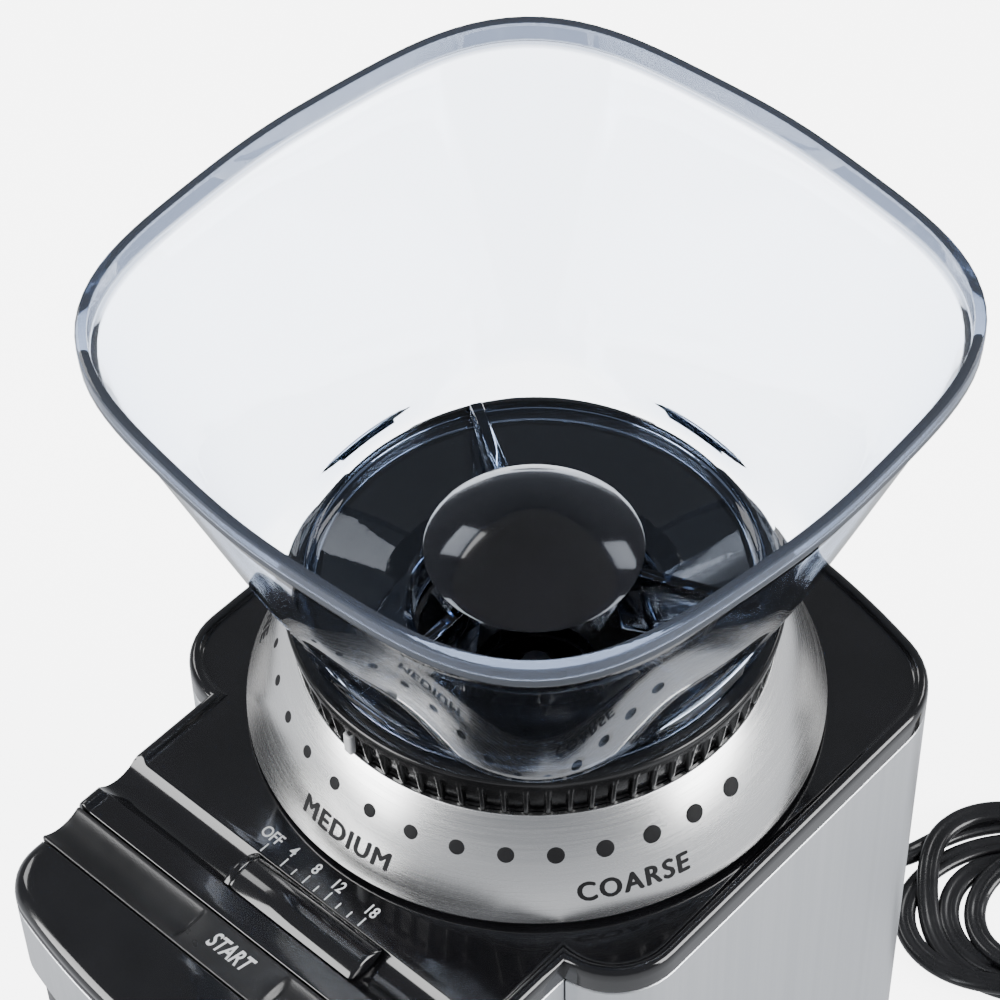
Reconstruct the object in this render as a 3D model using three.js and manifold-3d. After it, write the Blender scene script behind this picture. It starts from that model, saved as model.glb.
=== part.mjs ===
// Burr coffee grinder: a steel-clad body with a nose over the grounds container, a steel dial
// with a knurled adjusting ring, a clear rounded-square bean hopper, flat burrs driven by an
// upright motor through one gear pair, and a twin mains lead folded into a loose hank.
// Millimetres. +Z is up with Z = 0 at the soles of the feet, and the front faces -Y.
import * as THREE from "three";
import { mergeVertices } from "three/addons/utils/BufferGeometryUtils.js";
import Module from "manifold-3d";

const wasm = await Module();
wasm.setup();

// ---- Driving dimensions ----
const GAP = 0.3; // clearance between neighbouring pieces
const ROUND = 24; // facets round a large turned piece
const SMALL_ROUND = 12; // facets round a small turned piece

const FOOT_HEIGHT = 3;
const BASE_TOP = 8; // top of the base plate inside the body
const PLINTH_TOP = 14; // the shelf under the grounds container
const SHELL_BOTTOM = 5.5;
const SHELL_TOP = 149.2;
const COVER_BOTTOM = 149.5;
const COVER_TOP = 155; // the flat field of the top cover
const RIM_TOP = 156; // the raised edge round that field
const SHEET = 1.2; // steel sheet thickness
const WALL = 2.4; // moulded wall thickness

const BODY = {
  half: 65,
  front: { y: -28, bow: 3000, corner: 16 },
  rear: { y: 88.9, bow: 186, corner: 18 },
};
const NOSE = {
  half: 50,
  front: { y: -93.7, bow: 172, corner: 12 },
  rear: { y: 10, bow: 900, corner: 4 },
};
const FAR = 200; // past every piece, for cutting tools
const NOSE_SHELL_BOTTOM = 129.6;
const BAY_WALL_Y = -9; // front face of the wall behind the container
const BAY_HALF = 49.2;

const AXIS_Y = 20.3; // dial, burrs and hopper turn about this upright axis
const SKIRT_BOTTOM = 156.3;
const SKIRT_TOP = 177.2;
const SKIRT_R_BOTTOM = 61;
const SKIRT_R_TOP = 49.6;
const RING_BOTTOM = 177.5;
const RING_TOP = 189.5;
const RING_R_BOTTOM = 49.4;
const RING_R_TOP = 51.2;
const RING_TEETH = 72;
const TOOTH_DEPTH = 1.3;
const TOOTH_TOP = 186.3; // the teeth stop here, below a plain band
const POINTER_ANGLE = -95.25; // degrees about the dial axis, a middle setting

const HOPPER_TOP = 266.4;
const HOPPER_TURN = -2.5; // degrees: the hopper sits a little askew on its collar
const HOPPER_R_TOP = 77.9; // mean radius of the mouth's rounded square
const HOPPER_R_LOW = 52.6;
const HOPPER_WALL = 2.2;
const COLLAR_R = 47;
const THROAT_R = 25;
const THROAT_Z = 183.7;
const FLOOR_EDGE_Z = 192.8;
const GUARD_R = 22.2;
const GUARD_Z = 199.8;

const BURR_R = 23;
const BURR_HOLE_R = 13;
const LOWER_BURR_TOP = 149.7;
const BURR_GAP = 0.8; // between the burr faces at the middle setting
const BURR_THICK = 5;
const CHAMBER_R = 30;

const MOTOR_Y = 50.3; // motor axis, one gear centre distance behind the burr axis
const GEAR_MODULE = 1.25;
const GEAR_TEETH = 36;
const PINION_TEETH = 12;
const GEAR_Z = 92;
const GEAR_WIDTH = 8;
const DECK_Z = 84;
const DECK_THICK = 4;
const MOTOR_R = 26;
const MOTOR_BOTTOM = 22;
const MOTOR_TOP = 83.5;

const CHANNEL_Y = [-58.5, -48.4]; // slider channel, front and rear edges
const CHANNEL_DEPTH = 2.4;
const START_Y = [-75.1, -64.3];
const START_TRAVEL = 1.5;
const KNOB_X = [-14.2, 21.4];
const KNOB_TRAVEL = 27.2;

const BOARD_Z = 133;
const CONTAINER = {
  half: 48,
  front: { y: -91.9, bow: 170, corner: 11 },
  rear: { y: -12.2, bow: 900, corner: 6 },
};
const CONTAINER_TOP = 111.7;
const LID_TOP = 127;

const LEAD_WIDTH = 5.6; // flat twin lead
const LEAD_THICK = 3;
const GLAND_TIP = [22, 106, 15];
const HANK_AT = [54, 135]; // the point that the folded lead is measured from
const HANK_ANGLE = 32; // degrees from +X to the hank's length
const HANK_ENDS = [-1.5, 40]; // centres of its round ends, along that length
const HANK_R = 30;
const HANK_TOP = 6.5;
const PLUG_START = 30; // along the hank
const PLUG_SIDE = 13.6; // across the hank
const PLUG_HALF = 6.8; // half of its thickness

// ---- Helpers ----
const rad = THREE.MathUtils.degToRad;

// A closed geometry as a solid that can be joined and cut.
function solidOf(geometry) {
  const bare = geometry.index ? geometry.toNonIndexed() : geometry.clone();
  bare.deleteAttribute("normal");
  bare.deleteAttribute("uv");
  const merged = mergeVertices(bare, 1e-4);
  const vertProperties = merged.attributes.position.array;
  const triVerts = new Uint32Array(merged.index.array);
  return new wasm.Manifold(new wasm.Mesh({ numProp: 3, vertProperties, triVerts }));
}

function geometryOf(solid) {
  const mesh = solid.getMesh();
  const geometry = new THREE.BufferGeometry();
  geometry.setAttribute("position", new THREE.BufferAttribute(new Float32Array(mesh.vertProperties), 3));
  geometry.setIndex(new THREE.BufferAttribute(new Uint32Array(mesh.triVerts), 1));
  const flat = geometry.toNonIndexed();
  flat.computeVertexNormals();
  return flat;
}

function join(...geometries) {
  return geometryOf(geometries.map(solidOf).reduce((whole, next) => whole.add(next)));
}

function cut(geometry, ...tools) {
  return geometryOf(tools.map(solidOf).reduce((rest, tool) => rest.subtract(tool), solidOf(geometry)));
}

function common(geometry, other) {
  return geometryOf(solidOf(geometry).intersect(solidOf(other)));
}

// A turned piece about +Z. The profile lists [radius, z] anticlockwise; it closes on itself,
// or starts and ends on the axis.
function turned(profile, facets = ROUND) {
  const points = profile.map(([r, z]) => new THREE.Vector2(r, z));
  const solidCore = profile[0][0] === 0 && profile.at(-1)[0] === 0;
  if (!solidCore) points.push(points[0].clone());
  return new THREE.LatheGeometry(points, facets).rotateX(Math.PI / 2);
}

function disc(radius, z0, z1, facets = ROUND) {
  return turned([[0, z0], [radius, z0], [radius, z1], [0, z1]], facets);
}

function hoop(inner, outer, z0, z1, facets = ROUND) {
  return turned([[inner, z0], [outer, z0], [outer, z1], [inner, z1]], facets);
}

function block(x0, x1, y0, y1, z0, z1) {
  const box = new THREE.BoxGeometry(x1 - x0, y1 - y0, z1 - z0);
  return box.translate((x0 + x1) / 2, (y0 + y1) / 2, (z0 + z1) / 2);
}

function prism(shape, z0, z1, curveSegments = 5) {
  const settings = { depth: z1 - z0, bevelEnabled: false, curveSegments };
  return new THREE.ExtrudeGeometry(shape, settings).translate(0, 0, z0);
}

// A round bar along X.
function barX(radius, x0, x1, y, z, facets = 24) {
  const bar = new THREE.CylinderGeometry(radius, radius, x1 - x0, facets).rotateZ(Math.PI / 2);
  return bar.translate((x0 + x1) / 2, y, z);
}

// A plan outline with straight sides and bowed ends, drawn anticlockwise and moved in by inset.
function planShape(plan, inset = 0) {
  const half = plan.half - inset;
  const end = ({ y, bow, corner }, sign) => {
    const tip = y - sign * inset;
    const radius = Math.max(corner - inset, 0.5);
    const bowed = bow - inset;
    const bowCentre = tip - sign * bowed;
    const across = half - radius;
    const along = Math.sqrt((bowed - radius) ** 2 - across ** 2);
    const centre = bowCentre + sign * along;
    return { radius, bowed, bowCentre, across, centre, angle: Math.atan2(along, across) };
  };
  const rear = end(plan.rear, 1);
  const front = end(plan.front, -1);
  const shape = new THREE.Shape();
  shape.moveTo(half, front.centre);
  shape.absarc(rear.across, rear.centre, rear.radius, 0, rear.angle);
  shape.absarc(0, rear.bowCentre, rear.bowed, rear.angle, Math.PI - rear.angle);
  shape.absarc(-rear.across, rear.centre, rear.radius, Math.PI - rear.angle, Math.PI);
  shape.absarc(-front.across, front.centre, front.radius, Math.PI, Math.PI + front.angle);
  shape.absarc(0, front.bowCentre, front.bowed, Math.PI + front.angle, 2 * Math.PI - front.angle);
  shape.absarc(front.across, front.centre, front.radius, 2 * Math.PI - front.angle, 2 * Math.PI);
  return shape;
}

function planPrism(plan, inset, z0, z1) {
  return prism(planShape(plan, inset), z0, z1);
}

// Body and nose outlines joined, moved in by inset.
function footprint(inset, z0, z1) {
  return join(planPrism(BODY, inset, z0, z1), planPrism(NOSE, inset, z0, z1));
}

// Spur gear outline with straight flanks; a tooth points along `phase` degrees.
function gearShape(teeth, phase) {
  const pitchR = (GEAR_MODULE * teeth) / 2;
  const tipR = pitchR + 0.84 * GEAR_MODULE;
  const rootR = pitchR - 1.16 * GEAR_MODULE;
  const step = (2 * Math.PI) / teeth;
  const corners = [[rootR, -0.27], [tipR, -0.11], [tipR, 0.11], [rootR, 0.27]];
  const points = [];
  for (let tooth = 0; tooth < teeth; tooth++) {
    for (const [r, share] of corners) {
      const angle = rad(phase) + (tooth + share) * step;
      points.push(new THREE.Vector2(r * Math.cos(angle), r * Math.sin(angle)));
    }
  }
  return new THREE.Shape(points);
}

const root = new THREE.Group();

const PAINT = {
  blackPlastic: { color: 0x141416, roughness: 0.35, metalness: 0 },
  glossBlack: { color: 0x0b0b0d, roughness: 0.12, metalness: 0 },
  brushedSteel: { color: 0xc3c9cf, roughness: 0.32, metalness: 1 },
  steel: { color: 0x9a9da0, roughness: 0.4, metalness: 1 },
  clear: { color: 0xdfe8f2, roughness: 0.05, metalness: 0, transparent: true, opacity: 0.3 },
  smoked: { color: 0x3a3b40, roughness: 0.1, metalness: 0, transparent: true, opacity: 0.55 },
  rubber: { color: 0x1c1c1e, roughness: 0.8, metalness: 0 },
  nylon: { color: 0xe6e2d6, roughness: 0.5, metalness: 0 },
  copper: { color: 0xb5713a, roughness: 0.4, metalness: 1 },
  board: { color: 0x1f5a34, roughness: 0.5, metalness: 0 },
  brass: { color: 0xc9a24c, roughness: 0.35, metalness: 1 },
  white: { color: 0xe8e8e4, roughness: 0.4, metalness: 0 },
};

function add(name, geometry, paint, x = 0, y = 0, z = 0) {
  const mesh = new THREE.Mesh(geometry, new THREE.MeshStandardMaterial(PAINT[paint]));
  mesh.name = name;
  mesh.position.set(x, y, z);
  root.add(mesh);
  return mesh;
}

// ---- Feet, base and fasteners ----
const SIDES = [["left", -1], ["right", 1]];
const ENDS = [["front", -76, 36], ["rear", 70, 46]];
for (const [end, y, x] of ENDS) {
  for (const [side, sign] of SIDES) {
    const foot = turned([[0, 0], [6.5, 0], [7.5, FOOT_HEIGHT - GAP], [0, FOOT_HEIGHT - GAP]], SMALL_ROUND);
    add("foot_" + end + "_" + side, foot, "rubber", sign * x, y);
  }
}

const SCREWS = [[-54, -10], [54, -10], [-30, 76], [30, 76]];
const SCREW_HEAD = { r: 3.4, z0: 3.4, z1: 5.4 };
const SCREW_R = 1.6;
function screwHole(x, y) {
  const head = disc(SCREW_HEAD.r + GAP, FOOT_HEIGHT - 1, SCREW_HEAD.z1 + GAP, SMALL_ROUND);
  return join(head, disc(SCREW_R + GAP, SCREW_HEAD.z1, BASE_TOP + 1, SMALL_ROUND)).translate(x, y, 0);
}
const baseFloor = join(
  footprint(0, FOOT_HEIGHT, SHELL_BOTTOM - GAP),
  planPrism(BODY, SHEET + GAP, SHELL_BOTTOM - 1, BASE_TOP),
  common(
    planPrism(NOSE, 0, FOOT_HEIGHT, PLINTH_TOP),
    block(-FAR, FAR, -FAR, BODY.front.y - 2 * GAP, 0, FAR),
  ),
  common(
    planPrism(NOSE, SHEET, FOOT_HEIGHT, PLINTH_TOP),
    block(-FAR, FAR, BODY.front.y - 1, BAY_WALL_Y - GAP, 0, FAR),
  ),
);
add("base_plate", cut(baseFloor, ...SCREWS.map(([x, y]) => screwHole(x, y))), "blackPlastic");
SCREWS.forEach(([x, y], i) => {
  const { r, z0, z1 } = SCREW_HEAD;
  const profile = [
    [0, z0 + 1],
    [1.4, z0 + 1],
    [1.8, z0],
    [r, z0],
    [r, z1],
    [SCREW_R, z1],
    [SCREW_R, 16],
    [0, 17.5],
  ];
  add("base_screw_" + (i + 1), turned(profile, 10), "steel", x, y);
});

// ---- Steel cladding ----
const bodyWrap = cut(
  planPrism(BODY, 0, SHELL_BOTTOM, SHELL_TOP),
  planPrism(BODY, SHEET, SHELL_BOTTOM - 1, SHELL_TOP + 1),
  block(-NOSE.half - GAP, NOSE.half + GAP, -40, 0, 0, FAR),
  new THREE.CylinderGeometry(5.4, 5.4, 20, SMALL_ROUND).translate(GLAND_TIP[0], 88, GLAND_TIP[2]),
);
add("body_shell", bodyWrap, "brushedSteel");
const noseWrap = cut(
  planPrism(NOSE, 0, NOSE_SHELL_BOTTOM, SHELL_TOP),
  planPrism(NOSE, SHEET, NOSE_SHELL_BOTTOM - 1, SHELL_TOP + 1),
  block(-FAR, FAR, BODY.front.y + 2 * GAP, FAR, 0, FAR),
);
add("nose_shell", noseWrap, "brushedSteel");

// ---- Chassis: bay wall, side cheeks, motor deck and rear posts ----
const BAY_TOP = NOSE_SHELL_BOTTOM - 0.6;
const cheek = (sign) => {
  const x = [sign * BAY_HALF, sign * (BAY_HALF + WALL)].sort((a, b) => a - b);
  return block(x[0], x[1], BODY.front.y + SHEET + 3 * GAP, BAY_WALL_Y + WALL, BASE_TOP + GAP, BAY_TOP);
};
const deckPlan = {
  half: 58,
  front: { y: BAY_WALL_Y + 1, bow: 900, corner: 3 },
  rear: { y: 82, bow: 176, corner: 12 },
};
const POSTS = [[-42, 66], [42, 66]];
const chassis = cut(
  join(
    block(-BAY_HALF - WALL, BAY_HALF + WALL, BAY_WALL_Y, BAY_WALL_Y + WALL, BASE_TOP + GAP, BAY_TOP),
    cheek(-1),
    cheek(1),
    planPrism(deckPlan, 0, DECK_Z, DECK_Z + DECK_THICK),
    ...POSTS.map(([x, y]) => disc(5, BASE_TOP + GAP, DECK_Z + 1, 12).translate(x, y, 0)),
  ),
  disc(7.3, DECK_Z - 1, DECK_Z + DECK_THICK + 1, SMALL_ROUND).translate(0, AXIS_Y, 0),
  disc(7.5, DECK_Z - 1, DECK_Z + DECK_THICK + 1, SMALL_ROUND).translate(0, MOTOR_Y, 0),
  block(-1.8, 1.8, BAY_WALL_Y - 1, BAY_WALL_Y + 4, 104, 108).translate(34, 0, 0),
);
add("chassis", chassis, "blackPlastic");

// ---- Nose floor, over the container ----
const CHUTE = { half: 13, front: -36, rear: -13.4, wall: 1.8 };
const noseFloor = cut(
  common(
    planPrism(NOSE, SHEET + GAP, NOSE_SHELL_BOTTOM, NOSE_SHELL_BOTTOM + 2),
    block(-FAR, FAR, -FAR, BAY_WALL_Y - 1, 0, FAR),
  ),
  block(-CHUTE.half - GAP, CHUTE.half + GAP, CHUTE.front - GAP, CHUTE.rear + GAP, 0, FAR),
);
add("nose_floor", noseFloor, "blackPlastic");

// ---- Top cover with slider channel and start-bar channel ----
const channelMid = (CHANNEL_Y[0] + CHANNEL_Y[1]) / 2;
const channelHalf = (CHANNEL_Y[1] - CHANNEL_Y[0]) / 2;
const channelR = (channelHalf ** 2 + CHANNEL_DEPTH ** 2) / (2 * CHANNEL_DEPTH);
const startMid = (START_Y[0] + START_Y[1]) / 2;
const SPRING_X = 30;
const SPRING_PIN_R = 3;
const START_FLOOR = COVER_TOP - 3.6 - START_TRAVEL - GAP;
const KNOB_STEM = { x: (KNOB_X[0] + KNOB_X[1]) / 2, half: 3, thick: 1.2 };
const COVER_EDGE = 3.2; // width of the raised edge
const coverOuter = footprint(0, COVER_BOTTOM, RIM_TOP);
const coverField = join(
  planPrism(BODY, COVER_EDGE, COVER_TOP, RIM_TOP + 1),
  planPrism({ ...NOSE, front: { ...NOSE.front, y: NOSE.front.y - 8 } }, COVER_EDGE, COVER_TOP, RIM_TOP + 1),
  block(-60, 60, -100, START_Y[1], COVER_TOP, RIM_TOP + 1),
);
const coverPocket = footprint(COVER_EDGE, COVER_BOTTOM - 1, COVER_TOP - 2.6);
const topCover = cut(
  join(
    cut(coverOuter, coverField, coverPocket),
    block(-46.5, 46.5, CHANNEL_Y[0] - 2, CHANNEL_Y[1] + 2, COVER_TOP - CHANNEL_DEPTH - 2, COVER_TOP - 1),
    block(-46.5, 46.5, START_Y[0] - 2, START_Y[1] + 2, START_FLOOR - 2, COVER_TOP - 1),
  ),
  barX(channelR, -60, 60, channelMid, COVER_TOP - CHANNEL_DEPTH + channelR),
  block(-60, 60, START_Y[0], START_Y[1], START_FLOOR, RIM_TOP + 2),
  block(-5, 5, startMid - 3, startMid + 3, 100, 160),
  ...[-SPRING_X, SPRING_X].map((x) =>
    disc(SPRING_PIN_R + 2 * GAP, 100, 160, 12).translate(x, startMid, 0),
  ),
  block(
    KNOB_STEM.x - KNOB_STEM.half - 1,
    KNOB_STEM.x + KNOB_STEM.half + KNOB_TRAVEL + 1,
    channelMid - KNOB_STEM.thick - 0.6,
    channelMid + KNOB_STEM.thick + 0.6,
    100,
    160,
  ),
  disc(CHAMBER_R + WALL + 1, 100, 170).translate(0, AXIS_Y, 0),
);
add("top_cover", topCover, "glossBlack");

// ---- Slider knob: an arched finger piece on a flat stem ----
const KNOB_RISE = 2;
const knobShape = new THREE.Shape();
const knobHalf = channelHalf - 0.35;
const knobR = (knobHalf ** 2 + KNOB_RISE ** 2) / (2 * KNOB_RISE);
const knobAngle = Math.asin(knobHalf / knobR);
const keelHalf = 3.6;
knobShape.moveTo(keelHalf, -0.8);
knobShape.absarc(0, KNOB_RISE - knobR, knobR, Math.PI / 2 - knobAngle, Math.PI / 2 + knobAngle);
knobShape.lineTo(-keelHalf, -0.8);
knobShape.lineTo(-2, -CHANNEL_DEPTH + 0.9);
knobShape.lineTo(2, -CHANNEL_DEPTH + 0.9);
const knobBody = prism(knobShape, KNOB_X[0], KNOB_X[1], 10)
  .rotateX(Math.PI / 2)
  .rotateZ(Math.PI / 2)
  .translate(0, channelMid, COVER_TOP);
const knob = join(
  knobBody,
  block(
    KNOB_STEM.x - KNOB_STEM.half,
    KNOB_STEM.x + KNOB_STEM.half,
    channelMid - KNOB_STEM.thick,
    channelMid + KNOB_STEM.thick,
    142.6,
    COVER_TOP - 1,
  ),
);
add("slider_knob", knob, "glossBlack");

// ---- Start bar, dished either side of its flat middle, on two springs ----
const DISH_DEPTH = 1.6;
const SPRING_WIRE_R = 0.35;
const SPRING_TOP = START_FLOOR - 2.6;
const SPRING_BOTTOM = BOARD_Z + 1.6 + GAP;
const dishHalf = 4.6;
const dishR = (dishHalf ** 2 + DISH_DEPTH ** 2) / (2 * DISH_DEPTH);
const dish = (x0, x1) => barX(dishR, x0, x1, startMid, COVER_TOP - DISH_DEPTH + dishR);
const startBar = cut(
  join(
    block(-49.6, 49.6, START_Y[0] + GAP, START_Y[1] - GAP, COVER_TOP - 3.6, COVER_TOP),
    block(-4, 4, startMid - 2, startMid + 2, 143.6, COVER_TOP - 2),
    ...[-SPRING_X, SPRING_X].map((x) =>
      disc(SPRING_PIN_R, SPRING_TOP + GAP, COVER_TOP - 2, 12).translate(x, startMid, 0),
    ),
  ),
  dish(-60, -11),
  dish(11, 60),
);
add("start_bar", startBar, "blackPlastic");

class Helix extends THREE.Curve {
  constructor(radius, z0, z1, turns) {
    super();
    Object.assign(this, { radius, z0, z1, turns });
  }
  getPoint(t) {
    const angle = 2 * Math.PI * this.turns * t;
    const z = this.z0 + (this.z1 - this.z0) * t;
    return new THREE.Vector3(this.radius * Math.cos(angle), this.radius * Math.sin(angle), z);
  }
}
const wire = new THREE.Shape();
wire.absarc(0, 0, SPRING_WIRE_R, 0, 2 * Math.PI);
const startSpring = new THREE.ExtrudeGeometry(wire, {
  extrudePath: new Helix(2.4, SPRING_BOTTOM + SPRING_WIRE_R, SPRING_TOP - SPRING_WIRE_R, 3),
  steps: 24,
  curveSegments: 2,
});
for (const [side, sign] of SIDES) {
  add("start_spring_" + side, startSpring.clone(), "steel", sign * SPRING_X, startMid);
}

// ---- Dial: moulded cone, steel skirt and knurled ring ----
const dialBase = turned([
  [34.2, COVER_TOP + GAP],
  [58.6, COVER_TOP + GAP],
  [SKIRT_R_TOP - SHEET - 0.6, SKIRT_TOP - GAP],
  [45.6, SKIRT_TOP - GAP],
  [45.6, SKIRT_TOP - 3],
  [34.2, COVER_TOP + 3],
]);
add("dial_base", dialBase, "blackPlastic", 0, AXIS_Y);
const dialSkirt = turned([
  [SKIRT_R_BOTTOM - SHEET, SKIRT_BOTTOM],
  [SKIRT_R_BOTTOM, SKIRT_BOTTOM],
  [SKIRT_R_TOP, SKIRT_TOP],
  [SKIRT_R_TOP - SHEET, SKIRT_TOP],
], 48);
add("dial_skirt", dialSkirt, "brushedSteel", 0, AXIS_Y);

const toothShape = new THREE.Shape();
const toothStep = 360 / RING_TEETH;
for (let tooth = 0; tooth < RING_TEETH; tooth++) {
  const corners = [[0, -0.5], [TOOTH_DEPTH, 0]];
  corners.forEach(([rise, share], i) => {
    const angle = rad(POINTER_ANGLE + (tooth + share) * toothStep);
    const r = RING_R_TOP - TOOTH_DEPTH + rise;
    const method = tooth === 0 && i === 0 ? "moveTo" : "lineTo";
    toothShape[method](r * Math.cos(angle), r * Math.sin(angle));
  });
}
const ringHeight = RING_TOP - RING_BOTTOM;
const taper = (geometry) => {
  const place = geometry.attributes.position;
  for (let i = 0; i < place.count; i++) {
    const k = 1 - ((1 - RING_R_BOTTOM / RING_R_TOP) * (RING_TOP - place.getZ(i))) / ringHeight;
    place.setXY(i, place.getX(i) * k, place.getY(i) * k);
  }
  return geometry;
};
const ringBore = join(
  disc(45, RING_BOTTOM - 1, RING_TOP + 1),
  disc(COLLAR_R + 0.5, RING_TOP - 1.8, RING_TOP + 1),
);
const bandBottomR = RING_R_TOP - ((RING_R_TOP - RING_R_BOTTOM) * (RING_TOP - TOOTH_TOP)) / ringHeight;
const ringBand = turned([
  [0, TOOTH_TOP],
  [bandBottomR, TOOTH_TOP],
  [RING_R_TOP, RING_TOP - 0.8],
  [RING_R_TOP - 0.8, RING_TOP],
  [0, RING_TOP],
], 48);
const ring = cut(join(taper(prism(toothShape, RING_BOTTOM, TOOTH_TOP)), ringBand), ringBore);
add("adjust_ring", ring, "blackPlastic", 0, AXIS_Y);
const POINTER_R = RING_R_TOP - 0.4;
const pointer = block(POINTER_R, POINTER_R + 1.4, -1.2, 1.2, RING_BOTTOM + 0.5, TOOTH_TOP - 2.3);
add("pointer_tab", pointer.rotateZ(rad(POINTER_ANGLE)), "white", 0, AXIS_Y);

// ---- Bean hopper: round collar and funnel floor, walls opening into a rounded square ----
// How square the wall is at height z: 0 is round.
function squareness(z) {
  const rise = THREE.MathUtils.smoothstep(z, FLOOR_EDGE_Z + 0.5, FLOOR_EDGE_Z + 5.5);
  return rise * THREE.MathUtils.mapLinear(z, FLOOR_EDGE_Z, HOPPER_TOP, 1.16, 1);
}
function squared(geometry) {
  const place = geometry.attributes.position;
  for (let i = 0; i < place.count; i++) {
    const angle = Math.atan2(place.getY(i), place.getX(i));
    const wave = -0.0687 * Math.cos(4 * angle) + 0.0108 * Math.cos(8 * angle);
    const k = 1 + squareness(place.getZ(i)) * wave;
    place.setXY(i, place.getX(i) * k, place.getY(i) * k);
  }
  return geometry;
}
const SPOUT_BOTTOM = 175;
const LEDGE_Z = HOPPER_TOP - 5.5;
const BOWL_Z = FLOOR_EDGE_Z + 5.5;
const hopperShell = squared(turned([
  [THROAT_R, SPOUT_BOTTOM],
  [THROAT_R + 1.8, SPOUT_BOTTOM],
  [THROAT_R + 1.8, THROAT_Z - 1.2],
  [COLLAR_R - 1.8, FLOOR_EDGE_Z - 2.1],
  [COLLAR_R - 1.8, RING_TOP - 1.3],
  [COLLAR_R, RING_TOP - 1.3],
  [COLLAR_R, FLOOR_EDGE_Z],
  [COLLAR_R + 3.2, FLOOR_EDGE_Z + 2],
  [HOPPER_R_LOW, BOWL_Z],
  [HOPPER_R_TOP - 1.4, LEDGE_Z],
  [HOPPER_R_TOP - 0.2, LEDGE_Z + 0.3],
  [HOPPER_R_TOP, HOPPER_TOP],
  [HOPPER_R_TOP - HOPPER_WALL, HOPPER_TOP],
  [HOPPER_R_TOP - HOPPER_WALL, LEDGE_Z + 0.6],
  [HOPPER_R_TOP - HOPPER_WALL - 1.4, LEDGE_Z],
  [HOPPER_R_LOW - HOPPER_WALL, BOWL_Z + 0.5],
  [COLLAR_R + 0.9, FLOOR_EDGE_Z + 2.6],
  [COLLAR_R - 1.5, FLOOR_EDGE_Z],
  [THROAT_R, THROAT_Z],
], 40));
const ribShape = new THREE.Shape([
  new THREE.Vector2(0, GUARD_Z - 8),
  new THREE.Vector2(17, GUARD_Z - 8),
  new THREE.Vector2(18.5, THROAT_Z - 3),
  new THREE.Vector2(THROAT_R + 0.9, THROAT_Z - 3),
  new THREE.Vector2(COLLAR_R - 1, FLOOR_EDGE_Z - 0.8),
  new THREE.Vector2(COLLAR_R - 1, FLOOR_EDGE_Z + 2.6),
  new THREE.Vector2(20, GUARD_Z - 1),
  new THREE.Vector2(0, GUARD_Z - 1),
]);
const RIB_THICK = 2.6;
const ribs = [30, 150, 270].map((angle) =>
  prism(ribShape, -RIB_THICK / 2, RIB_THICK / 2).rotateX(Math.PI / 2).rotateZ(rad(angle)),
);
const hopper = join(hopperShell, ...ribs, disc(4, GUARD_Z - 8, GUARD_Z - 1, 16));
add("hopper", hopper.rotateZ(rad(HOPPER_TURN)), "clear", 0, AXIS_Y);

// A shallow dome on the ribs keeps the beans' weight off the burrs.
const GUARD_RISE = 6.8;
const domeArc = (radius, z, rise, count) => {
  const ball = (radius ** 2 + rise ** 2) / (2 * rise);
  const points = [];
  for (let i = 0; i <= count; i++) {
    const r = (radius * i) / count;
    points.push([r, z + rise - ball + Math.sqrt(ball ** 2 - r ** 2)]);
  }
  return points;
};
const guardProfile = [
  [0, GUARD_Z - 0.7],
  [3, GUARD_Z - 0.7],
  ...domeArc(GUARD_R - 1.6, GUARD_Z, GUARD_RISE - 2, 3).slice(1),
  [GUARD_R, GUARD_Z],
  ...domeArc(GUARD_R, GUARD_Z + 0.5, GUARD_RISE, 4).reverse(),
];
add("bean_guard", turned(guardProfile, 28), "glossBlack", 0, AXIS_Y);

// ---- Grinding parts on the dial axis ----
const UPPER_BURR_BOTTOM = LOWER_BURR_TOP + BURR_GAP;
const UPPER_BURR_TOP = UPPER_BURR_BOTTOM + BURR_THICK;
const upperCarrier = turned([
  [BURR_HOLE_R + 0.5, UPPER_BURR_TOP + GAP],
  [BURR_R + GAP, UPPER_BURR_TOP + GAP],
  [BURR_R + GAP, UPPER_BURR_BOTTOM + 0.6],
  [CHAMBER_R - 0.6, UPPER_BURR_BOTTOM + 0.6],
  [CHAMBER_R - 0.6, 171.5],
  [CHAMBER_R + 1.5, 178.5],
  [44.6, 179.5],
  [44.6, 188],
  [THROAT_R + 3, THROAT_Z - 3.4],
  [THROAT_R + 3, 173.4],
  [THROAT_R - 0.5, 172.6],
  [BURR_HOLE_R + 0.5, 160],
], 24);
add("upper_burr_carrier", upperCarrier, "blackPlastic", 0, AXIS_Y);

const BURR_TEETH = 8;
function burr(faceZ, side) {
  const back = faceZ + side * BURR_THICK;
  const [low, high] = [Math.min(faceZ, back), Math.max(faceZ, back)];
  const grooves = Array.from({ length: BURR_TEETH }, (_, i) =>
    block(BURR_HOLE_R - 2, BURR_R - 3, -0.9, 0.9, -1.1, 1.1)
      .rotateX(rad(45))
      .rotateZ(rad(18))
      .rotateZ((2 * Math.PI * i) / BURR_TEETH)
      .translate(0, 0, faceZ),
  );
  return cut(hoop(BURR_HOLE_R, BURR_R, low, high, 24), ...grooves);
}
add("upper_burr", burr(UPPER_BURR_BOTTOM, 1), "steel", 0, AXIS_Y);
add("lower_burr", burr(LOWER_BURR_TOP, -1), "steel", 0, AXIS_Y);

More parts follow.
